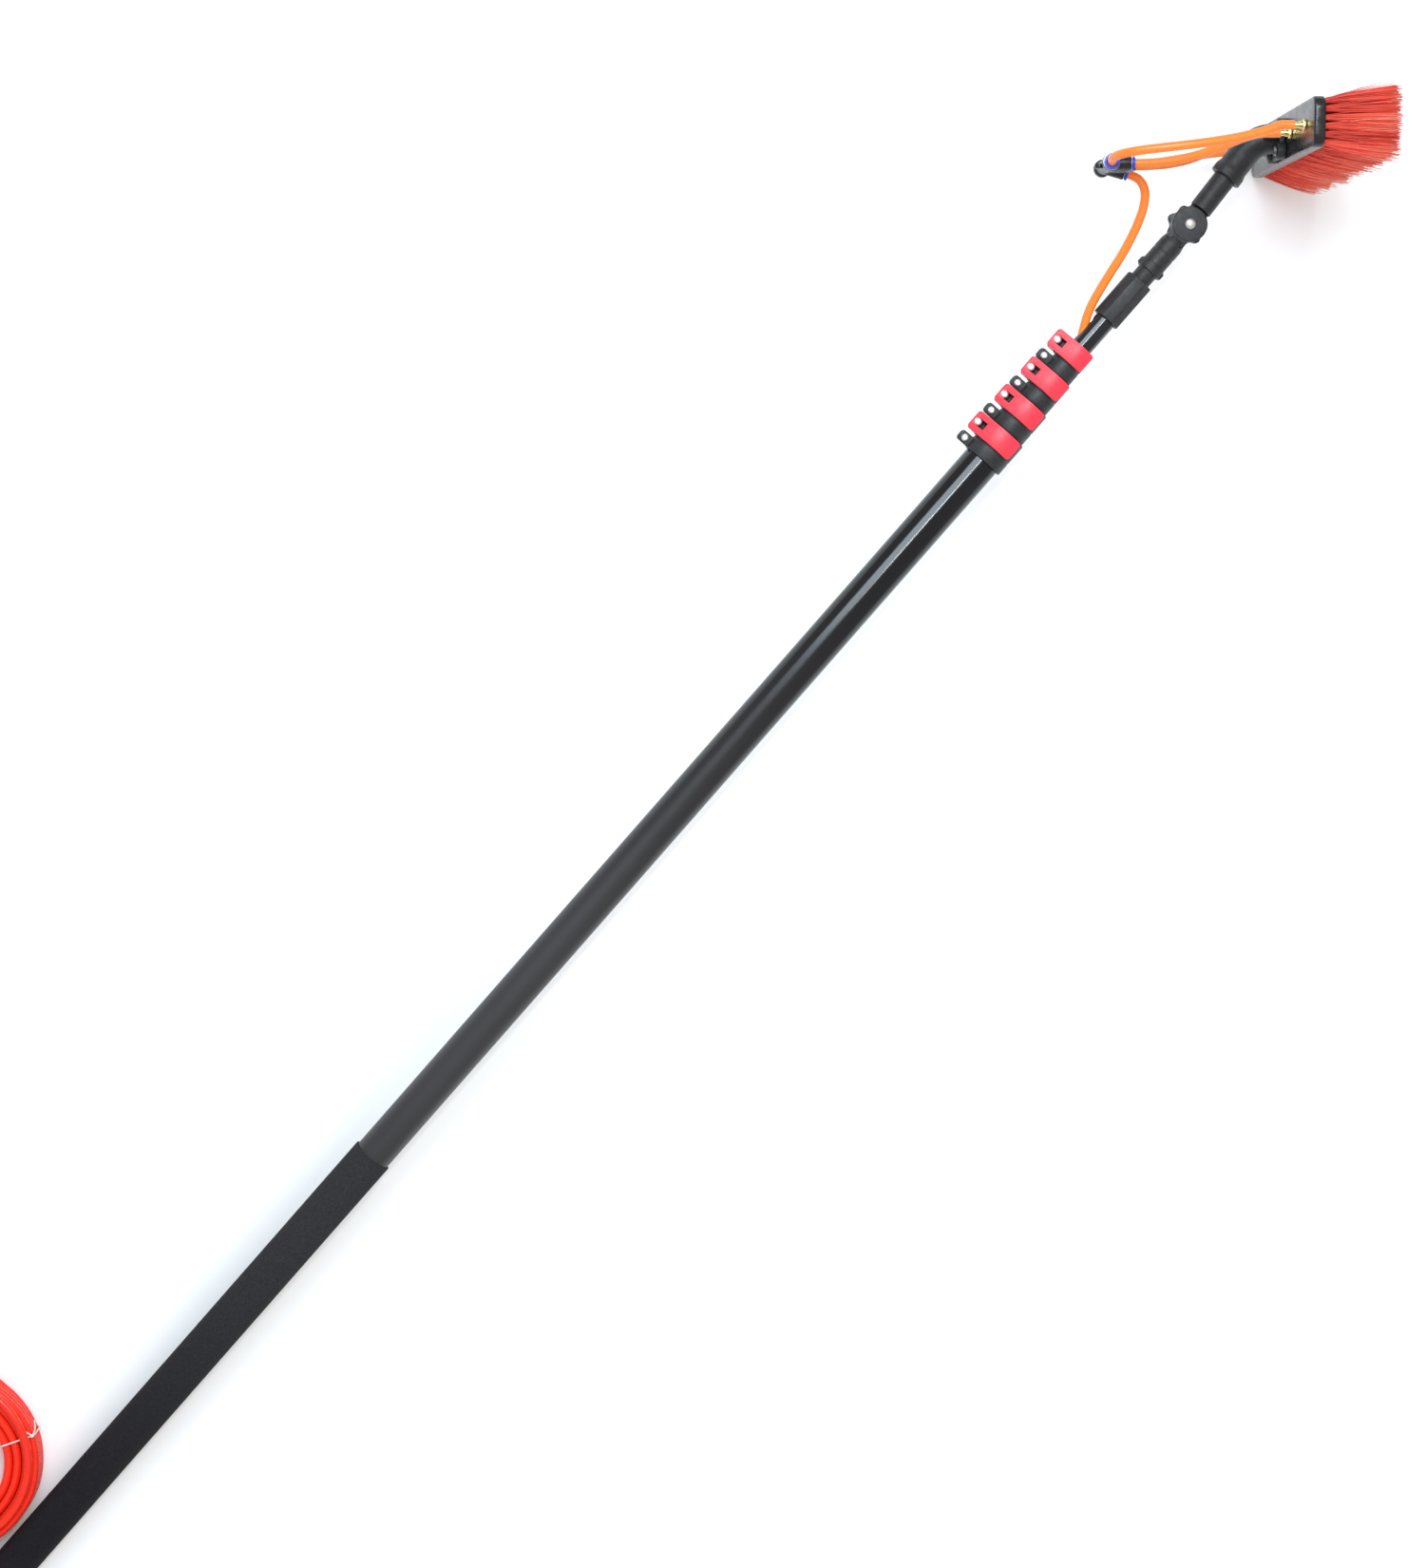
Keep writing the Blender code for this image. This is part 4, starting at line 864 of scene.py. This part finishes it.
def make_star_knob():
    lobes, middle, wave, steps = 7, 16.7 * MM, 1.6 * MM, 168
    outline = []
    for i in range(steps):
        a = tau * i / steps
        reach = middle + wave * cos(lobes * a)
        outline.append((reach * cos(a), reach * sin(a)))
    high = -ARM_RADIUS - GAP
    knob = carved(prism(outline, high - 7.5 * MM, high), bevel=1.3 * MM, segments=4, angle=60)
    hub = rod(7.5 * MM, high - 9.6 * MM, -EAR_THICK - GAP, 64, 0.9 * MM)
    finer(
        "star_knob", carved(knob, joined=[hub], cut=[rod(BOLT_RADIUS + GAP, -24 * MM, 0.0, 40, 0)]),
        KNOB_BLACK, "knob", AT_KNUCKLE
    )


# --- brush head


def elbow_route():
    turn = radians(STEM_TURN + HEAD_TURN)
    along = Vector((cos(turn), sin(turn), 0))
    corner = Vector((BLOCK_U / along.y * along.x, BLOCK_U, 0))
    enter = corner - along * 19 * MM
    leave = Vector((min(corner.x + 15 * MM, BLOCK_BACK - 6 * MM), BLOCK_U, 0))
    bend = [
        enter * (1 - t) ** 2 + corner * 2 * t * (1 - t) + leave * t**2 for t in [i / 14 for i in range(15)]
    ]
    return along, [along * ELBOW_START, *bend, Vector((BLOCK_BACK - 2 * MM, BLOCK_U, 0))]


def at_bracket_screws(radius, low, high, sides, round_off, x, way):
    """A rod at each bracket screw's place."""
    rods = [(rod(radius, low, high, sides, round_off), u, z) for u, z in BRACKET_SCREWS]
    return [moved(mesh, (x, BLOCK_U + u, z), (way, 0, 0)) for mesh, u, z in rods]


def make_bracket():
    along, route = elbow_route()
    back = BLOCK_BACK - GAP
    plate = carved(
        prism(rounded_rectangle(16.5 * MM, 21 * MM, 9 * MM, 8), 0, 5 * MM), bevel=0.9 * MM, segments=3,
        angle=60
    )
    plate.transform(Matrix(((0, 0, -1, back), (1, 0, 0, BLOCK_U - 2 * MM), (0, 1, 0, 0), (0, 0, 0, 1))))
    bosses = at_bracket_screws(7.6 * MM, 0.02 * MM, 7.4 * MM, 48, 0.9 * MM, back, -1)
    flare = lathe(
        [(0, 13 * MM), (ELBOW_RADIUS - 0.4 * MM, 13 * MM), mm(14.6, 7), (14.6 * MM, 0), (0, 0)], 72,
        0.9 * MM
    )
    ribs = []
    for z in mm(-16, 16):
        low = (back - 18 * MM, BLOCK_U - 1.6 * MM, z - 5 * MM)
        high = (back - 2 * MM, BLOCK_U + 1.6 * MM, z + 5 * MM)
        ribs.append(carved(box(low, high), bevel=0.5 * MM))
    bore = moved(
        rod(ARM_RADIUS + FINE_GAP, -5 * MM, ELBOW_BORE_END - ELBOW_START, 72, 0), along * ELBOW_START, along
    )
    holes = at_bracket_screws(2.3 * MM, -MM, 12 * MM, 24, 0, back, -1)
    bracket = carved(
        sweep(route, ELBOW_RADIUS, 64),
        joined=[plate, *bosses, moved(flare, along * ELBOW_START, along), *ribs], cut=[bore, *holes]
    )
    finer("elbow_bracket", bracket, PLASTIC, "head", HEAD, smooth=40)
    for i, (u, z) in enumerate(BRACKET_SCREWS, 1):
        screw = socket_screw(4.4 * MM, 7.4 * MM + GAP, 10.4 * MM, 2 * MM, -6.5 * MM)
        finer(
            f"bracket_screw_{i}", moved(screw, (back, BLOCK_U + u, z), (-1, 0, 0)), DARK_STEEL, "head", HEAD
        )


def make_block():
    mesh = prism(rounded_rectangle(BLOCK_WIDTH / 2, BLOCK_LENGTH / 2, BLOCK_CORNER, 12), 0, BLOCK_THICK)
    mesh = carved(mesh, bevel=2 * MM, segments=4, angle=60)
    mesh.transform(Matrix(((0, 0, 1, BLOCK_BACK), (1, 0, 0, BLOCK_U), (0, 1, 0, 0), (0, 0, 0, 1))))
    holes = [
        moved(rod(2.9 * MM, -2 * MM, BLOCK_THICK + 2 * MM, 32, 0), (BLOCK_BACK, BLOCK_U, z), (1, 0, 0))
        for z in NIPPLE_Z
    ]
    holes += at_bracket_screws(2.3 * MM, -2 * MM, 7 * MM, 24, 0, BLOCK_BACK, 1)
    finer("brush_block", carved(mesh, cut=holes), BLOCK_BLACK, "head", HEAD)


def make_nipples():
    for i, z in enumerate(NIPPLE_Z, 1):
        stem, thread, jet = 2.7 * MM, 2.6 * MM, 0.9 * MM
        front = -(BLOCK_THICK - 0.6 * MM)
        profile = [
            (stem, NIPPLE_STEM), (stem, 6.4 * MM), mm(3.3, 6), mm(3.3, 3), mm(4.2, 2.8), (4.2 * MM, GAP),
            (thread, GAP), (thread, front), (jet, front), (jet, NIPPLE_STEM)
        ]
        hexagon = carved(prism(polygon(6, 4.9 * MM), GAP, 3.4 * MM), bevel=0.3 * MM)
        mesh = carved(
            lathe(profile, 40, 0.15 * MM), joined=[hexagon], cut=[rod(jet, -20 * MM, 20 * MM, 24, 0)]
        )
        finer(f"jet_nipple_{i}", moved(mesh, (BLOCK_BACK, BLOCK_U, z), (-1, 0, 0)), BRASS, "head", HEAD)


def make_bristles():
    """Tufts in rows; each is a spray of thin filaments that splay towards their tips."""
    draw = random.Random(7)
    work = bmesh.new()
    tone_with_painted_light = work.verts.layers.float.new("tone_with_painted_light")
    columns, rows, strands = 28, 6, 44
    half_u, half_z = BLOCK_WIDTH / 2 - 4.2 * MM, BLOCK_LENGTH / 2 - 7 * MM
    front = BLOCK_BACK + BLOCK_THICK
    end_z = BLOCK_LENGTH / 2 + 1.6 * MM
    for column in range(columns):
        for row in range(rows):
            across = row / (rows - 1) * 2 - 1
            along = column / (columns - 1) * 2 - 1
            base = Vector((front - 1.5 * MM, BLOCK_U + across * half_u, along * half_z))
            lean_u = across * (9.0 - 2.5 * along) * MM + draw.gauss(0, 0.9 * MM)
            lean_z = along**3 * 4 * MM + draw.gauss(0, 1.1 * MM)
            lean = Vector((0, lean_u, lean_z))
            longer = 5.5 * along - 3.6 - across**4 * 0.5 - 0.8 * (across * along) ** 4
            length = BRISTLE_TIP - base.x + longer * MM + draw.gauss(0, 0.6 * MM)
            # random colour per tuft, plus painted light that lightens the outer row of the lower long side and
            # painted shade that darkens the tufts towards the end where along nears 1
            shade = draw.gauss(0, 0.09) + 0.10 * max(0, -across) ** 2 - 0.09 * max(0, along) ** 8
            for _ in range(strands):
                a, r = draw.uniform(0, tau), 1.9 * MM * draw.random() ** 0.5
                outwards = Vector((0, r * cos(a), r * sin(a)))
                root, spread = base + outwards, outwards * 2.2
                fray = Vector((0, draw.gauss(0, 2.7 * MM), draw.gauss(0, 2.7 * MM)))
                tip = root + lean + spread + fray + Vector((length - abs(draw.gauss(0, 1.6 * MM)), 0, 0))
                tip.z = max(min(tip.z, end_z), -end_z)
                strand(work, tone_with_painted_light, root, tip, 0.5 + shade + draw.gauss(0, 0.12), a)
    mesh = finished(work)
    add("bristle_tufts", mesh, BRISTLE, "head", HEAD, "bristle_pack", smooth=180)


def strand(work, tone_with_painted_light, root, tip, shade, turn):
    """One filament: a thin three-sided spike that curves towards its tip."""
    rings, segments = [], 4
    for i in range(segments + 1):
        t = i / segments
        sideways = Vector((0, tip.y - root.y, tip.z - root.z)) * (1.45 - 0.45 * t) * t
        at = Vector((root.x + (tip.x - root.x) * t, root.y, root.z)) + sideways
        radius = (0.36 - 0.15 * t) * MM
        ring = []
        for k in range(3):
            a = turn + tau * k / 3
            vert = work.verts.new(at + Vector((0, radius * cos(a), radius * sin(a))))
            # painted shade: darker towards the root, lighter towards the tip
            vert[tone_with_painted_light] = min(max(shade * (0.35 + 0.75 * t**0.7) + 0.1 * t, 0), 1.0)
            ring.append(vert)
        rings.append(ring)
    bridge(work, rings)
    work.faces.new(rings[-1])


# --- manifold and its hoses


def ports():
    side = Vector((1, 0, 0))
    feed = Vector((cos(FEED_PORT_ANGLE), sin(FEED_PORT_ANGLE), 0))
    return {
        "near": (Vector((0, 0, END_MOUTH)), Vector((0, 0, 1))),
        "side_1": (side * PORT_MOUTH + Vector((0, 0, 20 * MM)), side),
        "side_2": (side * PORT_MOUTH + Vector((0, 0, 7.5 * MM)), side),
        "side_3": (side * PORT_MOUTH + Vector((0, 0, -5 * MM)), side),
        "far": (Vector((0, 0, -END_MOUTH)), Vector((0, 0, -1))),
        "feed": (feed * PORT_MOUTH + Vector((0, 0, -17.5 * MM)), feed)
    }


def make_manifold():
    profile = [
        (0, END_MOUTH), (7.8 * MM, END_MOUTH), mm(7.8, 27), mm(6, 25), mm(6, -24.5), mm(7.8, -26),
        (7.8 * MM, -END_MOUTH), (0, -END_MOUTH)
    ]
    branches, bores = [], []
    for name, (mouth, way) in ports().items():
        if name not in ("near", "far"):
            branches.append(moved(rod(6.15 * MM, -PORT_MOUTH + 1.1 * MM, 0, 56, 0.6 * MM), mouth, way))
        bores.append(moved(rod(5 * MM, -8.3 * MM, MM, 48, 0), mouth, way))
    lug = moved(rod(4.2 * MM, -2 * MM, 2 * MM, 36, 0.5 * MM), mm(-8.2, -2, 14), (0, 1, 0))
    webs = carved(box(mm(2, -2.2, -2), mm(12, 2.2, 22)), bevel=0.4 * MM)
    body = carved(lathe(profile, 64, 0.7 * MM), joined=[*branches, lug, webs], cut=bores)
    finer("manifold_body", body, KNOB_BLACK, "head", MANIFOLD)
    for name, (mouth, way) in ports().items():
        outer = 7 * MM if name in ("near", "far") else 6 * MM
        sleeve, bore = 4.7 * MM, HOSE_RADIUS + FINE_GAP
        profile = [
            (outer, 3.4 * MM), (outer, 1.4 * MM), (sleeve, 1.4 * MM), (sleeve, -4.5 * MM),
            (bore, -4.5 * MM), (bore, 3.4 * MM)
        ]
        collet = moved(lathe(profile, 56, 0.45 * MM), mouth, way)
        finer(f"collet_{name}", collet, BLUE, f"collet_{name}", MANIFOLD)
        trim = pipe(outer + 0.35 * MM, 5.2 * MM, 0.05 * MM, 0.33 * MM, 56, 0.1 * MM)
        add(f"port_ring_{name}", moved(trim, mouth, way), STEEL, "head", MANIFOLD)
    mouth, way = ports()["side_2"]
    plug = lathe(
        [(0, 6.6 * MM), mm(3.2, 6.6), mm(5.2, 5.6), mm(5.2, 4.6), mm(3.9, 4.5), mm(3.9, -4), (0, -4 * MM)],
        48, 0.4 * MM
    )
    add("blank_plug", moved(plug, mouth, way), KNOB_BLACK, "head", MANIFOLD)


def port_in_head(name):
    mouth, way = ports()[name]
    return mouth + Vector(MANIFOLD_AT), way


# each branch hose: its port, then its way and stiffness on leaving the port and on arriving, in millimetres
BRANCH_HOSES = {
    1: ("near", (-12, 8, 57), (52, 22, -6)), 2: ("side_1", (65, 0, 0), (28, 0, 0)),
    3: ("side_3", (70, 0, 0), (44, 0, 0)), 4: ("far", (0, 0, -80), (32, 0, 0))
}


def bent_between(start, leaving, end, arriving, steps=24):
    """The easy bend of a hose held at both ends; the two vectors give its way there and its stiffness."""
    first, last = start + leaving, end - arriving
    points = []
    for i in range(steps + 1):
        t = i / steps
        s = 1 - t
        points.append(start * s**3 + first * 3 * t * s**2 + last * 3 * t**2 * s + end * t**3)
    return points


def branch_points(i):
    """Branch hose i, from inside its port to where it is pushed over nipple i's stem."""
    port, leaving, arriving = BRANCH_HOSES[i]
    mouth, way = port_in_head(port)
    into = Vector((1, 0, 0))
    end = Vector((BLOCK_BACK - NIPPLE_STEM - GAP, BLOCK_U, NIPPLE_Z[i - 1]))
    start, stop = mouth + way * 4 * MM, end - into * 8 * MM
    bend = bent_between(start, Vector(leaving) * MM, stop, Vector(arriving) * MM)
    return [mouth - way * HOSE_IN_PORT, *bend, end, end + into * 3.2 * MM]


# the feed hose in the pole's frame, from inside the last tube out through the slot, in millimetres
FEED_IN_POLE = [
    (1574, 0, 0), (1582, 0.2, 0), (1590, 1.6, 0), (1599, 4.8, 0.2), (1608, 9.4, 0.8), (1617, 14.0, 1.8),
    (1628, 18.2, 3.4), (1642, 21.6, 6), (1660, 25.0, 10), (1678, 28.2, 14.2), (1694, 32.2, 18.2),
    (1709, 37.2, 21.8), (1720, 42.2, 24.2), (1728.7, 48.2, 25.5), (1733.4, 54.6, 26.2), (1735.1, 61.6, 26.5)
]


def make_hoses():
    for i in BRANCH_HOSES:
        points = smooth_route(branch_points(i), 2 * MM)
        finer(f"branch_hose_{i}", sweep(points, HOSE_RADIUS, 32), HOSE_ORANGE, "head", HEAD, smooth=60)
    repaint("inner_hose", HOSE_ORANGE)
    mouth, way = port_in_head("feed")
    arrive = [POLE.inverted() @ HEAD @ (mouth + way * d) for d in (7 * MM, 3 * MM, -HOSE_IN_PORT)]
    points = smooth_route([Vector(p) * MM for p in FEED_IN_POLE] + arrive, 2 * MM)
    hose = add("feed_hose.fine", sweep(points, HOSE_RADIUS, 32), HOSE_ORANGE, None, POLE, smooth=60)
    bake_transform(hose)
    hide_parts("feed_hose")


# --- supply hose and coil

SUPPLY_POINTS = [
    (12, 0, 20.3), (-6, 0, 19.0), (-20, 0, 17.4), (-36, 1, 12.4), (-52, 5, 7.2), (-66, 14, 4.5),
    (-76, 29, 4.1), (-80, 48, 4.1), (-78, 70, 4.1), (-70, 93, 4.1), (-56, 115, 4.1), (-36, 136, 4.1),
    (-10, 155, 4.1), (20, 171, 4.1), (52, 184, 4.1), (84, 193, 4.1)
]


def coil_points():
    """The turns of the coil, layer on layer: inwards in one, outwards in the next; clockwise from above."""
    per_turn = 40
    points = []
    turns = COIL_COLUMNS * COIL_LAYERS
    for i in range(turns * per_turn + 1):
        turn = i / per_turn
        layer = min(int(turn / COIL_COLUMNS), COIL_LAYERS - 1)
        inside = turn - layer * COIL_COLUMNS
        column = stepped(inside) if layer % 2 == 0 else COIL_COLUMNS - 1 - stepped(inside)
        climb = ease((inside - COIL_COLUMNS + CLIMB_TURN) / CLIMB_TURN) if layer < COIL_LAYERS - 1 else 0.0
        angle = radians(COIL_FIRST) - tau * turn
        radius = COIL_TURN_RADIUS - column * COIL_PITCH + 0.35 * MM * sin(3 * angle + layer)
        height = LYING_HEIGHT + (layer + climb) * LAYER_PITCH
        points.append(COIL_MIDDLE + Vector((radius * cos(angle), radius * sin(angle), height)))
    return points


def ease(t):
    t = min(max(t, 0), 1.0)
    return t * t * (3 - 2 * t)


def stepped(turn):
    """Column reached after some turns of a layer; a turn steps over to the next column in its last fifth."""
    whole = int(turn)
    return min(whole + ease((turn - whole - 0.8) / 0.2), COIL_COLUMNS - 1)


def make_coil():
    lead = smooth_route([Vector(p) * MM for p in SUPPLY_POINTS], 8 * MM)
    turns = coil_points()
    plug_at = COIL_MIDDLE + Vector((-69 * MM, -23 * MM, COIL_HEIGHT + GAP + 7 * MM))
    tail = tail_route(turns[-1], plug_at)
    path = smooth_route([*lead[:-1:2], *turns[6::4], *tail], 6 * MM)
    world = [FLOOR @ p for p in path]
    curve = bpy.data.curves.new("spare_hose", "CURVE")
    curve.dimensions = "3D"
    curve.bevel_depth, curve.bevel_resolution, curve.use_fill_caps = HOSE_RADIUS, 6, True
    spline = curve.splines.new("POLY")
    spline.points.add(len(world) - 1)
    for point, at in zip(spline.points, world):
        point.co = (*at, 1.0)
    spline.use_smooth = True
    curve.materials.append(COIL_RED)
    hose = new_object("spare_hose", curve)
    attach(hose, "pole_base")
    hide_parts("supply_hose", "hose_coil")
    plug = make_connector(plug_at)
    ties = make_ties()


def tail_route(start, plug_at):
    """The last stretch: off the top turn, over the coil and into the connector, which lies on it."""
    made = []
    radius_from = (start - COIL_MIDDLE).to_2d().length
    angle_from = atan2(start.y - COIL_MIDDLE.y, start.x - COIL_MIDDLE.x)
    aim = plug_at - COIL_MIDDLE
    angle_to = atan2(aim.y, aim.x)
    while angle_to > angle_from:
        angle_to -= tau
    radius_to = aim.to_2d().length
    steps = 14
    for i in range(1, steps + 1):
        t = i / steps
        angle = angle_from + (angle_to - angle_from) * t
        radius = radius_from + (radius_to - radius_from) * ease(t)
        height = start.z + (plug_at.z - start.z) * ease(t * 1.6)
        made.append(COIL_MIDDLE + Vector((radius * cos(angle), radius * sin(angle), height)))
    made[-1] = plug_at
    made.append(plug_at + Vector((0, 9 * MM, 0)))
    return made


def make_connector(plug_at):
    profile = [
        (0, CONNECTOR_LENGTH), (3.2 * MM, CONNECTOR_LENGTH), mm(3.5, 42), mm(3, 41.5), mm(3.5, 37),
        mm(3, 36.5), mm(3.2, 33), mm(5.2, 33), mm(5.2, 29), mm(7, 27), mm(7, 21), mm(6.5, 20.5),
        mm(6.5, 14.5), mm(7, 14), mm(7, 9), mm(5.6, 7), (5.6 * MM, 0), (3.4 * MM, 0), mm(3.4, 12),
        (0, 12 * MM)
    ]
    mesh = lathe(profile, 56, 0.3 * MM)
    place = FLOOR @ shift(plug_at + Vector((0, CONNECTOR_LENGTH, 0)))
    return finer("hose_connector", moved(mesh, (0, 0, 0), (0, -1, 0)), BRASS, "pole_base", place)


def make_ties():
    """Short cord ties round the coil's band, with loose ends."""
    made = []
    for number, degrees in enumerate(TIE_ANGLES, 1):
        a = radians(degrees)
        outwards = Vector((cos(a), sin(a), 0))
        middle = COIL_MIDDLE + outwards * (COIL_TURN_RADIUS - 1.5 * COIL_PITCH)
        half_w, half_h = 17.6 * MM, COIL_HEIGHT / 2 + 0.9 * MM
        loop = []
        for x, z in rounded_rectangle(half_w, half_h, 6 * MM, 5):
            height = max(z + COIL_HEIGHT / 2 + 0.2 * MM, 0.8 * MM)
            loop.append(middle + outwards * x + Vector((0, 0, height)))
        side = Vector((-sin(a), cos(a), 0))
        loop.append(loop[0])
        knot = loop[len(loop) // 8] + Vector((0, 0, 1 * MM))
        lines = [(loop, 0.75 * MM)]
        for out_1, side_1, out_2, side_2 in (mm(5, 5, 7, 13), mm(-4, 6, -9, 11)):
            rise = knot + outwards * out_1 + side * side_1 + Vector((0, 0, 2 * MM))
            lines.append(([knot, rise, knot + outwards * out_2 + side * side_2], 0.65 * MM))
        work = bmesh.new()
        for line, radius in lines:
            work.from_mesh(sweep(smooth_route([FLOOR @ p for p in line], 1.5 * MM), radius, 10))
        work.from_mesh(moved(rod(1.8 * MM, -1.4 * MM, 1.4 * MM, 16, 1 * MM), FLOOR @ knot, side))
        made.append(add(f"coil_tie_{number}", finished(work), CORD_WHITE, "pole_base"))
    return made


# --- everything

make_camera()
make_studio()
make_coil()
make_hoses()
make_tubes()
make_grip()
make_end_cap()
make_clamps()
make_knuckle()
make_bracket()
make_block()
make_nipples()
make_bristles()
make_manifold()
